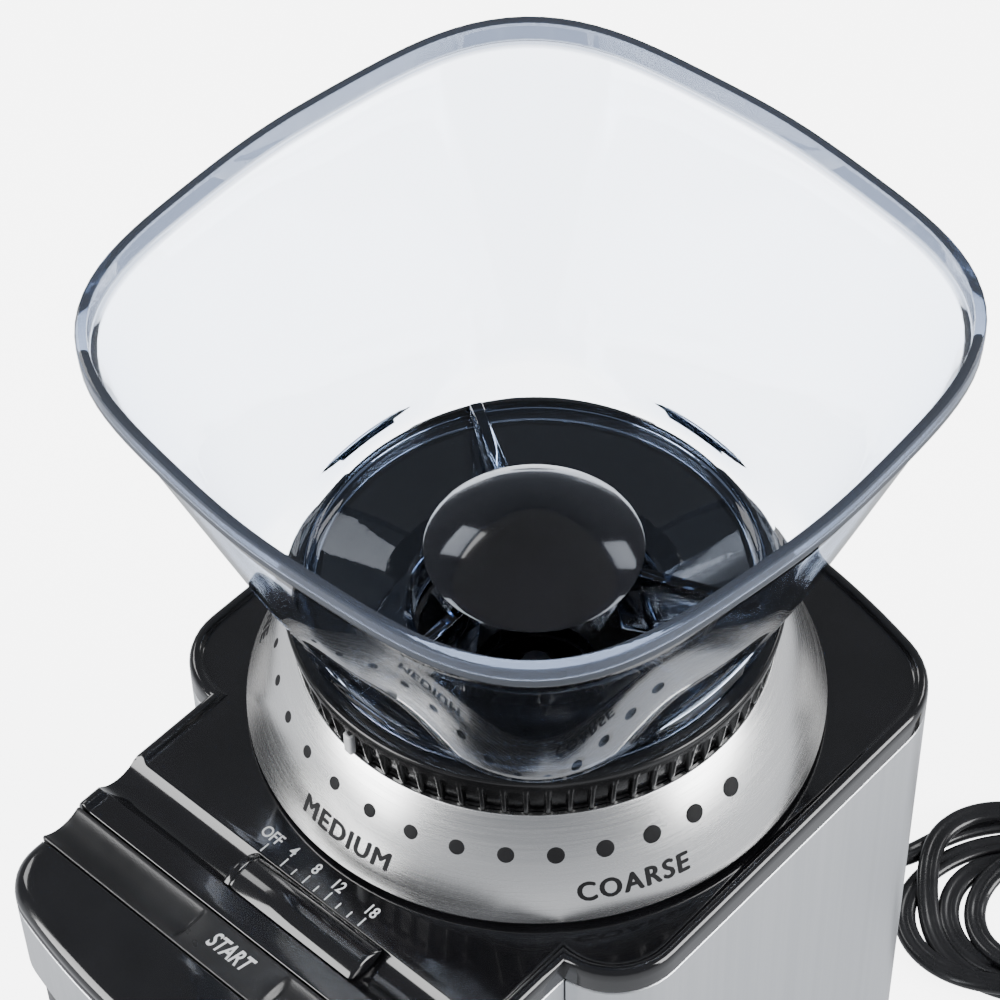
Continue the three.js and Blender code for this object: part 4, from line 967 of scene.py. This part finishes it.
def cover_mesh():
    """The cover as one closed shell: an edge, a skin with two channels and a hole under the dial."""
    rings = [cover_ring(k) for k in range(len(BEAD))]
    count, n = len(rings[0]), len(side_stations)
    top = np.array(rings[-1])
    under, lip = top.copy(), top.copy()
    lip[:, 2] = COVER_BOTTOM
    skin_top = np.where(top[:, 2] > START_FLOOR + 0.5, np.minimum(top[:, 2], FIELD_Z), START_FLOOR)
    under[:, 2] = skin_top - SKIN
    points, faces = [], []

    def add(ring):
        """Add a ring of points and give the number of its first one."""
        points.extend(map(tuple, ring))
        return len(points) - len(ring)

    starts = [add(under), add(lip), *[add(r) for r in rings]]
    for a, b in zip(starts, starts[1:]):
        for j in range(count):
            k = (j + 1) % count
            faces.append((a + j, a + k, b + k, b + j))
    left0 = count - n - len(cover_front(0.0))
    holes = []
    for base, hole_z in ((starts[-1], FIELD_Z), (starts[0], FIELD_Z - SKIN)):
        for i in range(LAST_CHANNEL):
            quad = [base + i, base + i + 1, base + left0 + n - 2 - i, base + left0 + n - 1 - i]
            if i == LAST_CHANNEL - 1:
                right_end, left_end = points[quad[1]], points[quad[2]]
                first = add([
                    (right_end[0] + (left_end[0] - right_end[0]) * t, right_end[1], right_end[2])
                    for t in np.linspace(0, 1, 14)[1:-1]
                ])
                line = list(range(first, len(points)))
                quad = [quad[0], quad[1], *line, quad[2], quad[3]]
            faces.append(tuple(quad))
        loop = [base + j for j in range(LAST_CHANNEL, left0 + n - LAST_CHANNEL)] + line[::-1]
        hole = []
        for v in loop:
            a = math.atan2(points[v][1] - AXIS_Y, points[v][0])
            hole.append((DIAL_HOLE_R * math.cos(a), AXIS_Y + DIAL_HOLE_R * math.sin(a), hole_z))
        holes.append(add(hole))
        for j in range(len(loop)):
            k = (j + 1) % len(loop)
            faces.append((loop[j], loop[k], holes[-1] + k, holes[-1] + j))
        faces.append(tuple([base] + [base + j for j in range(count - 1, left0 + n - 2, -1)]))
    for j in range(len(loop)):
        k = (j + 1) % len(loop)
        faces.append((holes[0] + j, holes[0] + k, holes[1] + k, holes[1] + j))
    return points, faces


piece("top_cover_moulded", *cover_mesh(), GLOSS, "body", ("top_cover",), "gloss_black", smooth=38)


# ---- Labels on the cover ----
def label(text, x, y, size, narrow=1.0, **style):
    """A word printed on the cover, as wide as `narrow` times its normal width."""
    points, faces = lettering(text, size, **style)
    points[:, 0] *= narrow
    heights = np.where(points[:, 2] > 0, FIELD_Z + 0.05, FIELD_Z - 0.3)
    return np.stack([points[:, 0] + x, points[:, 1] + y, heights], axis=1), faces


def tick(x, y0, y1):
    """A scale mark printed on the cover."""
    return slab(x - 0.17, x + 0.17, y0, y1, FIELD_Z - 0.3, FIELD_Z + 0.05, 0.06, 1)


TEXT_X = {"OFF": -14.5, "4": -8.5, "8": -2.0, "12": 4.1, "18": 13.3}
TEXT_Y, TICK_FROM, LONG_TO, SHORT_TO = -43.75, -48.0, -45.6, -46.3
OFF_MARK, FIRST_MARK, MARK_PITCH, LONG_MARKS = -13.7, -8.1, 3.09, (0, 2, 4, 7)
cover_labels = [label(t, x, TEXT_Y, 3.8, 0.8, bold=0.04, spacing=0.98) for t, x in TEXT_X.items()]
cover_labels.append(tick(OFF_MARK, TICK_FROM, LONG_TO))
for i in range(8):
    top = LONG_TO if i in LONG_MARKS else SHORT_TO
    cover_labels.append(tick(FIRST_MARK + MARK_PITCH * i, TICK_FROM, top))
piece("cover_labels", *merged(*cover_labels), WHITE_INK, "body", (), "pointer_white", smooth=20)

# ---- Amount slider ----
KNOB_X, KNOB_RISE = (-14.2, 21.4), 2.0
knob_half = CHANNEL_HALF - 0.35
knob_r = (knob_half**2 + KNOB_RISE**2) / (2 * KNOB_RISE)


def knob_section(shrink):
    """The slider's arched section across the channel, moved in by shrink."""
    half = knob_half - shrink
    made = []
    for t in np.linspace(1, -1, 21):
        y = half * t
        made.append((y, KNOB_RISE - knob_r + math.sqrt(max(knob_r**2 - y**2, 0)) - shrink))
    low = math.sqrt(max((CHANNEL_R - 0.25) ** 2 - half**2, 0))
    for t in np.linspace(-1, 1, 13)[1:-1]:
        y = (half - 0.25) * t
        arch = CHANNEL_R - CHANNEL_DEPTH - math.sqrt((CHANNEL_R - 0.25) ** 2 - y**2)
        made.append((y, min(arch + shrink, -0.35 - 0.2 * shrink) if abs(t) < 0.99 else -low))
    return [(CHANNEL_MID + y, FIELD_Z + z) for y, z in made]


KNOB_STATIONS = [
    (0.0, 0.55), (0.06, 0.3), (0.22, 0.1), (0.5, 0.0), (1.5, 0.0), (1.6, 0.06), (1.75, 0.3), (1.95, 0.34),
    (2.15, 0.3), (2.3, 0.06), (2.4, 0.0), (18.0, 0.0), (34.5, 0.0), (34.9, 0.05), (35.25, 0.2), (35.45, 0.45),
    (35.6, 0.8),
]
knob = bridged([[(KNOB_X[0] + x, y, z) for y, z in knob_section(s)] for x, s in KNOB_STATIONS])
piece("amount_slider_knob", *knob, GLOSS, "cup_slider", ("slider_knob",), "gloss_black", smooth=40)

# ---- Start bar ----
BAR_HALF, BAR_THICK, DISH_DEPTH, DISH_HALF = 49.6, 3.6, 1.6, 4.6
START_MID = sum(START_Y) / 2
DISH_R = (DISH_HALF**2 + DISH_DEPTH**2) / (2 * DISH_DEPTH)
bar_y = (START_Y[0] + 0.3, START_Y[1] - 0.3)


def bar_section(x):
    """The bar's section at x: a flat middle, a dish either side, and rounded rims."""
    ends = BAR_HALF - abs(x)
    shrink = 0.4 - math.sqrt(max(0.16 - max(0.4 - ends, 0) ** 2, 0)) if ends < 0.4 else 0.0
    dished = smoothstep((abs(x) - 11) / 1.6)
    made = []
    mid, half = sum(bar_y) / 2, (bar_y[1] - bar_y[0]) / 2 - shrink
    top = [-1, -0.995, -0.97, -0.93, *np.linspace(-0.9, 0.9, 25), 0.93, 0.97, 0.995, 1]
    rim = {1: 0.45, 0.995: 0.28, 0.97: 0.1, 0.93: 0.0}
    for t in top:
        y = half * t
        dip = max(DISH_DEPTH - DISH_R + math.sqrt(max(DISH_R**2 - y**2, 0)), 0) if abs(y) < DISH_HALF else 0
        made.append((mid + y, FIELD_Z - shrink - dip * dished - rim.get(round(abs(t), 3), 0)))
    bottom = FIELD_Z - BAR_THICK + shrink
    made += [(mid + half, bottom + 0.3), (mid + half - 0.3, bottom)]
    made += [(mid - half + 0.3, bottom), (mid - half, bottom + 0.3)]
    return made


bar_x = [BAR_HALF - d for d in (0, 0.03, 0.1, 0.22, 0.4)] + list(np.linspace(48, 13, 8))
bar_x += [12.6, 12.2, 11.8, 11.4, 11.0, 6]
bar_x = sorted([-x for x in bar_x] + [0] + bar_x)
bar = bridged([[(x, y, z) for y, z in bar_section(x)] for x in bar_x])
stem = slab(-4, 4, START_MID - 2, START_MID + 2, 143.6, FIELD_Z - 2.5, 0.4)
pins = [
    lathed(filleted([(0, 147.3), (1.8, 147.3), (1.8, 153), (0, 153)], (0, 0.4, 0, 0)), 32, (x, START_MID))
    for x in (-30, 30)
]
piece(
    "start_bar_dished", *merged(bar, stem, *pins), SATIN, "start_button", ("start_bar",),
    "black_plastic", smooth=34,
)
start_word = label("START", -1.2, START_MID + 0.45, 5.2, 0.68, shear=0.28, bold=0.11, spacing=1.02)
piece("start_label", *start_word, WHITE_INK, "start_button", (), "pointer_white", smooth=20)

# ---- Steel cladding ----
SHELL_LOW, SHELL_TOP, SHEET = 5.5, 149.2, 1.2


def sheet_section(z0, z1):
    """The steel sheet's section between two heights, with rounded edges."""
    return filleted([(0, z0), (SHEET, z0), (SHEET, z1), (0, z1)], 0.45, 3)


body_wrap = wrapped(lambda inset: body_path(inset, 50.3), sheet_section(SHELL_LOW, SHELL_TOP))
piece("body_shell_brushed", *body_wrap, SHELL_STEEL, "body", ("body_shell",), "brushed_steel", smooth=34)
NOSE_LOW = 129.6
nose_wrap = wrapped(lambda inset: nose_path(inset, -27.4), sheet_section(NOSE_LOW, SHELL_TOP))
piece("nose_shell_brushed", *nose_wrap, SHELL_STEEL, "body", ("nose_shell",), "brushed_steel", smooth=34)

# ---- Grounds container and its lid ----
BIN_LOW, BIN_TOP, BIN_WALL = 14.3, 111.7, 2.4
bin_levels = [
    *near(0, BIN_LOW, (2.6, 0), (1.3, 0.25), (0.5, 0.9), (0.1, 1.9), (0, 3.2)), (0.0, 60.0),
    *near(0, BIN_TOP, (0, -4), (0, -0.5), (0.2, -0.12), (0.6, 0)),
    *near(BIN_WALL, BIN_TOP, (-0.6, 0), (-0.15, -0.15), (0, -0.6)), (BIN_WALL, 60.0),
    *near(BIN_WALL, BIN_LOW, (0, 5.5), (0.3, 3.8), (1.2, 2.8), (2.6, BIN_WALL)),
]
piece(
    "grounds_container_smoked", *stacked(CONTAINER, bin_levels), SMOKED, "grounds_bin",
    ("grounds_container",), "smoked_plastic", smooth=40,
)


def carved(name, blank, cutters):
    """A shape less its cutters, all of them (points, faces) pairs."""
    base, *tools = [placed(name, clean_mesh(name, *shape)) for shape in (blank, *cutters)]
    for tool in tools:
        cut = base.modifiers.new("cut", "BOOLEAN")
        cut.operation, cut.solver, cut.object = "DIFFERENCE", "EXACT", tool
    points, faces = as_mesh(base)
    for held in (base, *tools):
        bpy.data.objects.remove(held)
    return points / MM, faces


LID_LOW, LID_TOP = 112.0, 127.0
lid_levels = [
    *near(0, LID_LOW, (0.5, 0), (0.1, 0.15), (0, 0.5)),
    *near(0, LID_TOP, (0, -2.2), (0.15, -1.3), (0.6, -0.6), (1.3, -0.15), (2.3, 0)),
]
lid_hollow = [(2.4, LID_LOW - 1), (2.4, LID_TOP - 3.2), (3.0, LID_TOP - 2.6), (3.9, LID_TOP - 2.4)]
grip_wall = slab(-24.4, 24.4, -91.0, -81.5, LID_LOW + 0.3, LID_TOP - 1.2, 0.5)
hollow = carved("lid_hollow", stacked(CONTAINER, lid_hollow), [grip_wall])
lid_mesh = carved("lid", stacked(CONTAINER, lid_levels), [
    hollow, slab(-22, 22, -97, -83.9, 114, 123, 2.2, 5), slab(-15, 15, -38, -15.1, 120, 130, 1.2, 3),
])
piece(
    "container_lid_moulded", *lid_mesh, SATIN, "grounds_bin", ("container_lid",), "black_plastic", smooth=34,
)

# ---- Base, feet and screws ----
def cover_path(inset):
    """The outline of the cover and of the base plate under it."""
    half = NOSE.half - inset
    right = [(half, station[0]) for station in side_stations]
    left = [(-half, y) for _, y in right[::-1]]
    return [*right, *body_path(inset, half), *left, *cover_front(inset)]


plate = bridged([
    [(x, y, z) for x, y in cover_path(inset)]
    for inset, z in ((1.6, 3.0), (0.6, 3.12), (0.12, 3.5), (0.0, 3.9), (0.0, 4.9), (0.25, 5.2))
])
spigot = stacked(BODY, [(1.6, 4.5), (1.6, 7.6), (2.0, 8.0)])
SHELF = Plan(50, (-93.7, 172, 12), (-28.6, 900, 1))
shelf = stacked(SHELF, [(0.0, 4.5), (0.0, 12.8), (0.15, 13.4), (0.6, 13.8), (1.3, 14.0)])
tongue = slab(-48.6, 48.6, -29.2, -9.4, 4.5, 14.0, 0.4)
piece(
    "base_plate_moulded", *merged(plate, spigot, shelf, tongue), MATTE, "body", ("base_plate",),
    "black_plastic", smooth=34,
)
for node in ("foot_front_left", "foot_front_right", "foot_rear_left", "foot_rear_right"):
    low, high = box_mm(node)
    middle = (low + high) / 2
    profile = [
        (0, 0.35), (3.6, 0.35), (4.0, 0.0), (5.6, 0.0), (6.6, 0.35), (7.1, 1.1), (7.4, 2.4), (7.2, high[2]),
        (0, high[2]),
    ]
    piece(node + "_rubber", *lathed(profile, 40, middle[:2]), RUBBER, "body", (node,), "rubber", smooth=50)


def screw(x, y):
    """A pan-head screw seen from below, with a cross recess."""
    head, turns = [], full_turn(48)
    pan = (
        (0.02, 3.9), (0.35, 3.85), (0.6, 3.8), (1.2, 3.62), (1.9, 3.5), (2.6, 3.62), (3.2, 3.95), (3.4, 4.4),
    )
    for r, z in pan:
        ring = []
        for a in turns:
            px, py = r * math.cos(a), r * math.sin(a)
            slot_here = min(abs(px), abs(py)) < 0.42 and r < 1.9
            ring.append((x + px, y + py, z + (1.1 * (1 - r / 2.4) if slot_here else 0)))
        head.append(ring)
    for r, z in ((3.4, 5.3), (1.6, 5.4), (1.6, 15.6), (0.3, 17.4)):
        head.append([(x + r * math.cos(a), y + r * math.sin(a), z) for a in turns])
    return bridged(head)


for i in range(1, 5):
    low, high = box_mm("base_screw_%d" % i)
    piece(
        "base_screw_%d_pan" % i, *screw(*((low + high) / 2)[:2]), MACHINED, "body",
        ("base_screw_%d" % i,), "machined_steel", smooth=40,
    )

# ---- Strain relief, plug and ties ----
GLAND_X, GLAND_TIP_Y, GLAND_Z = 22.0, 106.0, 15.0


def gland_mesh():
    """A tapered strain relief along +Y, with slots cut round it between its rings."""
    profile = [
        (0.0, 82.6), (6.2, 82.6), (6.6, 83.0), (6.6, 84.3), (6.3, 84.6), (5.1, 84.7), (5.1, 90.6),
        (4.9, 91.0),
    ]
    y, ribs = 91.3, 6
    pitch = (GLAND_TIP_Y - 1.2 - y) / ribs
    for i in range(ribs):
        r = 4.6 - 0.9 * i / ribs
        start = y + pitch * i
        profile += [
            (r - 0.9, start), (r - 0.9, start + pitch * 0.3), (r - 0.15, start + pitch * 0.36),
            (r, start + pitch * 0.45), (r - 0.05, start + pitch * 0.9), (r - 0.3, start + pitch * 0.98),
        ]
    profile += [(3.4, GLAND_TIP_Y - 1.0), (3.3, GLAND_TIP_Y - 0.3), (3.0, GLAND_TIP_Y), (0.0, GLAND_TIP_Y)]
    turns = full_turn(48)
    rings = [[(GLAND_X + r * math.cos(a), yy, GLAND_Z + r * math.sin(a)) for a in turns] for r, yy in profile]
    return bridged(rings)


gland = piece("cord_gland_ribbed", *gland_mesh(), PLUG_PVC, "body", ("cord_gland",), "rubber", smooth=40)

PLUG_ALONG, PLUG_ACROSS, PLUG_Z = 30.0, 13.6, 13.6


def plug_place(points):
    """Points in the plug's own frame, moved to where it lies on the folded lead."""
    return np.array([on_hank(PLUG_ALONG + x, PLUG_ACROSS + y, PLUG_Z + z) for x, y, z in points])


def plug_body():
    """The moulded plug: a ribbed neck that opens into a flat grip with a front face."""
    stations = [
        (0.1, 3.4, 2.4), (0.5, 3.9, 2.9), (2.0, 4.1, 3.1), (2.3, 3.6, 2.6), (3.3, 3.6, 2.6), (3.6, 4.5, 3.5),
        (5.2, 4.7, 3.7), (5.5, 4.1, 3.1), (6.5, 4.2, 3.2), (6.8, 5.1, 4.1), (8.4, 5.3, 4.3), (8.7, 4.6, 3.6),
        (9.7, 4.7, 3.7), (10.0, 5.6, 4.6), (12.0, 5.9, 5.2), (14.5, 7.4, 5.9), (17.0, 9.7, 6.4),
        (19.0, 10.6, 6.65), (23.0, 10.2, 6.3), (29.0, 9.9, 6.1), (35.0, 10.3, 6.4), (38.5, 10.9, 6.75),
        (40.8, 10.9, 6.75), (41.5, 10.6, 6.45), (41.9, 10.0, 5.9), (42.0, 9.2, 5.2),
    ]
    rings = []
    for x, half, high in stations:
        ring = []
        for a in full_turn(48):
            c, s = math.cos(a), math.sin(a)
            ring.append((x, half * math.copysign(abs(c) ** 0.5, c), high * math.copysign(abs(s) ** 0.5, s)))
        rings.append(ring)
    return bridged(rings)


body_points, body_faces = plug_body()
plug = piece(
    "plug_moulded", plug_place(body_points), body_faces, PLUG_PVC, "body", ("plug",), "rubber", smooth=46,
)
blade = filleted([(40.5, -3.2), (58, -3.2), (58, 3.2), (40.5, 3.2)], (0, 1.4, 1.4, 0), 5)
blade_levels = ((-0.75, 0.25), (-0.6, 0.0), (0.6, 0.0), (0.75, 0.25))
blades = [drawn_in(blade, [(at + dy, pull) for dy, pull in blade_levels]) for at in (-6.35, 6.35)]
blade_points, blade_faces = merged(*blades)
blade_piece = piece("plug_blades", plug_place(blade_points), blade_faces, BRASS, "body", (), "brass")

ties = []
for along, across, z, width, high in ((31.0, -24.1, 3.3, 13.6, 7.4), (31.0, 24.3, 3.3, 14.2, 7.4)):
    rings = []
    a, b = width / 2, high / 2
    shape = filleted([(-a, -b), (a, -b), (a, b), (-a, b)], 1.5)
    for x, wall in ((-2.0, 0.32), (-1.9, 0.5), (1.9, 0.5), (2.0, 0.32)):
        rings.append([(x, y + math.copysign(wall, y), up_ + math.copysign(wall, up_)) for y, up_ in shape])
    rings += [[(x, y, up_) for y, up_ in shape] for x in (2.0, -2.0)]
    points, faces = bridged(rings, closed=True)
    ties.append(([on_hank(along + x, across + y, max(z + up_, 0.25)) for x, y, up_ in points], faces))
tie_piece = piece("lead_ties", *merged(*ties), PLUG_PVC, "body", (), "rubber", smooth=40)

# ---- Inner parts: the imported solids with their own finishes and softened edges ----
KEPT = (
    (MATTE, "chassis nose_floor burr_chamber gearbox_cover start_switch interlock_switch"),
    (SATIN, "chute sweeper_wheel"),
    (GLOSS, "upper_burr_carrier"),
    # Burrs and feed cone: steel painted near black as painted shade of the throat
    (THROAT_SHADE_STEEL, "upper_burr lower_burr feed_cone"),
    (MACHINED, "burr_shaft motor_can brush_left brush_right slide_potentiometer"),
    (MACHINED, "start_spring_left start_spring_right"),
    (BRASS, "lower_bearing upper_bearing motor_pinion"),
    (NYLON, "drive_gear cooling_fan"),
    (COPPER, "stator armature"),
    (RUBBER, "motor_mount"),
    (BOARD, "timer_board"),
)
SHARP = ("start_spring_left", "start_spring_right", "upper_burr_carrier")
for material, names in KEPT:
    for name in names.split():
        held = NODES[name]
        held.data.materials.clear()
        held.data.materials.append(material)
        if name not in SHARP:
            soften = held.modifiers.new("soft_edges", "BEVEL")
            soften.width = 0.25 * MM
            soften.segments = 2
            soften.limit_method = "ANGLE"
            soften.angle_limit = math.radians(38)

# ---- Stage ----
def floor_material():
    """A white floor bright enough to show white round the object."""
    s = Shader("studio_floor", (0.93, 0.93, 0.93), 0.7)
    s.bsdf.inputs["Emission Color"].default_value = (1, 1, 1, 1)
    s.bsdf.inputs["Emission Strength"].default_value = 5.5
    s.colours(s.noise(3), (0.92, 0.92, 0.92), (0.95, 0.95, 0.95))
    return s.mat


floor_mesh = bpy.data.meshes.new("studio_floor")
floor_mesh.from_pydata([(-4, -4, 0), (4, -4, 0), (4, 4, 0), (-4, 4, 0)], [], [(0, 1, 2, 3)])
floor_mesh.materials.append(floor_material())
floor = placed("studio_floor", floor_mesh)
floor.visible_diffuse = False
floor.visible_glossy = False

world = bpy.data.worlds.new("studio")
world.use_nodes = True
sky = world.node_tree
direction = sky.nodes.new("ShaderNodeTexCoord")
split = sky.nodes.new("ShaderNodeSeparateXYZ")
band = sky.nodes.new("ShaderNodeMapRange")
mix = sky.nodes.new("ShaderNodeMix")
mix.data_type = "RGBA"
band.inputs["From Min"].default_value = -0.25
band.inputs["From Max"].default_value = 0.1
mix.inputs["A"].default_value = (0.80, 0.82, 0.86, 1)
mix.inputs["B"].default_value = (0.24, 0.25, 0.27, 1)
sky.links.new(direction.outputs["Generated"], split.inputs[0])
sky.links.new(split.outputs["Z"], band.inputs["Value"])
sky.links.new(band.outputs["Result"], mix.inputs["Factor"])
sky.links.new(mix.outputs["Result"], sky.nodes["Background"].inputs["Color"])
sky.nodes["Background"].inputs["Strength"].default_value = 1.0
bpy.context.scene.world = world


def softbox(name, place, size, power):
    """A soft rectangular lamp that points at the middle of the object."""
    data = bpy.data.lights.new(name, "AREA")
    data.shape = "RECTANGLE"
    data.size, data.size_y = size
    data.energy = power
    made = placed(name, data)
    made.location = place
    made.rotation_mode = "QUATERNION"
    made.rotation_quaternion = (CENTRE - Vector(place)).to_track_quat("-Z", "Y")


CENTRE = Vector((0, 0, 0.16))
softbox("left_light", (-0.60, -1.20, 0.62), (0.9, 1.1), 34)
softbox("right_light", (1.30, 0.52, 0.62), (0.9, 1.1), 34)
softbox("back_left_light", (-1.35, 0.10, 1.25), (0.5, 0.5), 4)
softbox("back_right_light", (0.35, 1.45, 1.25), (0.5, 0.5), 4)
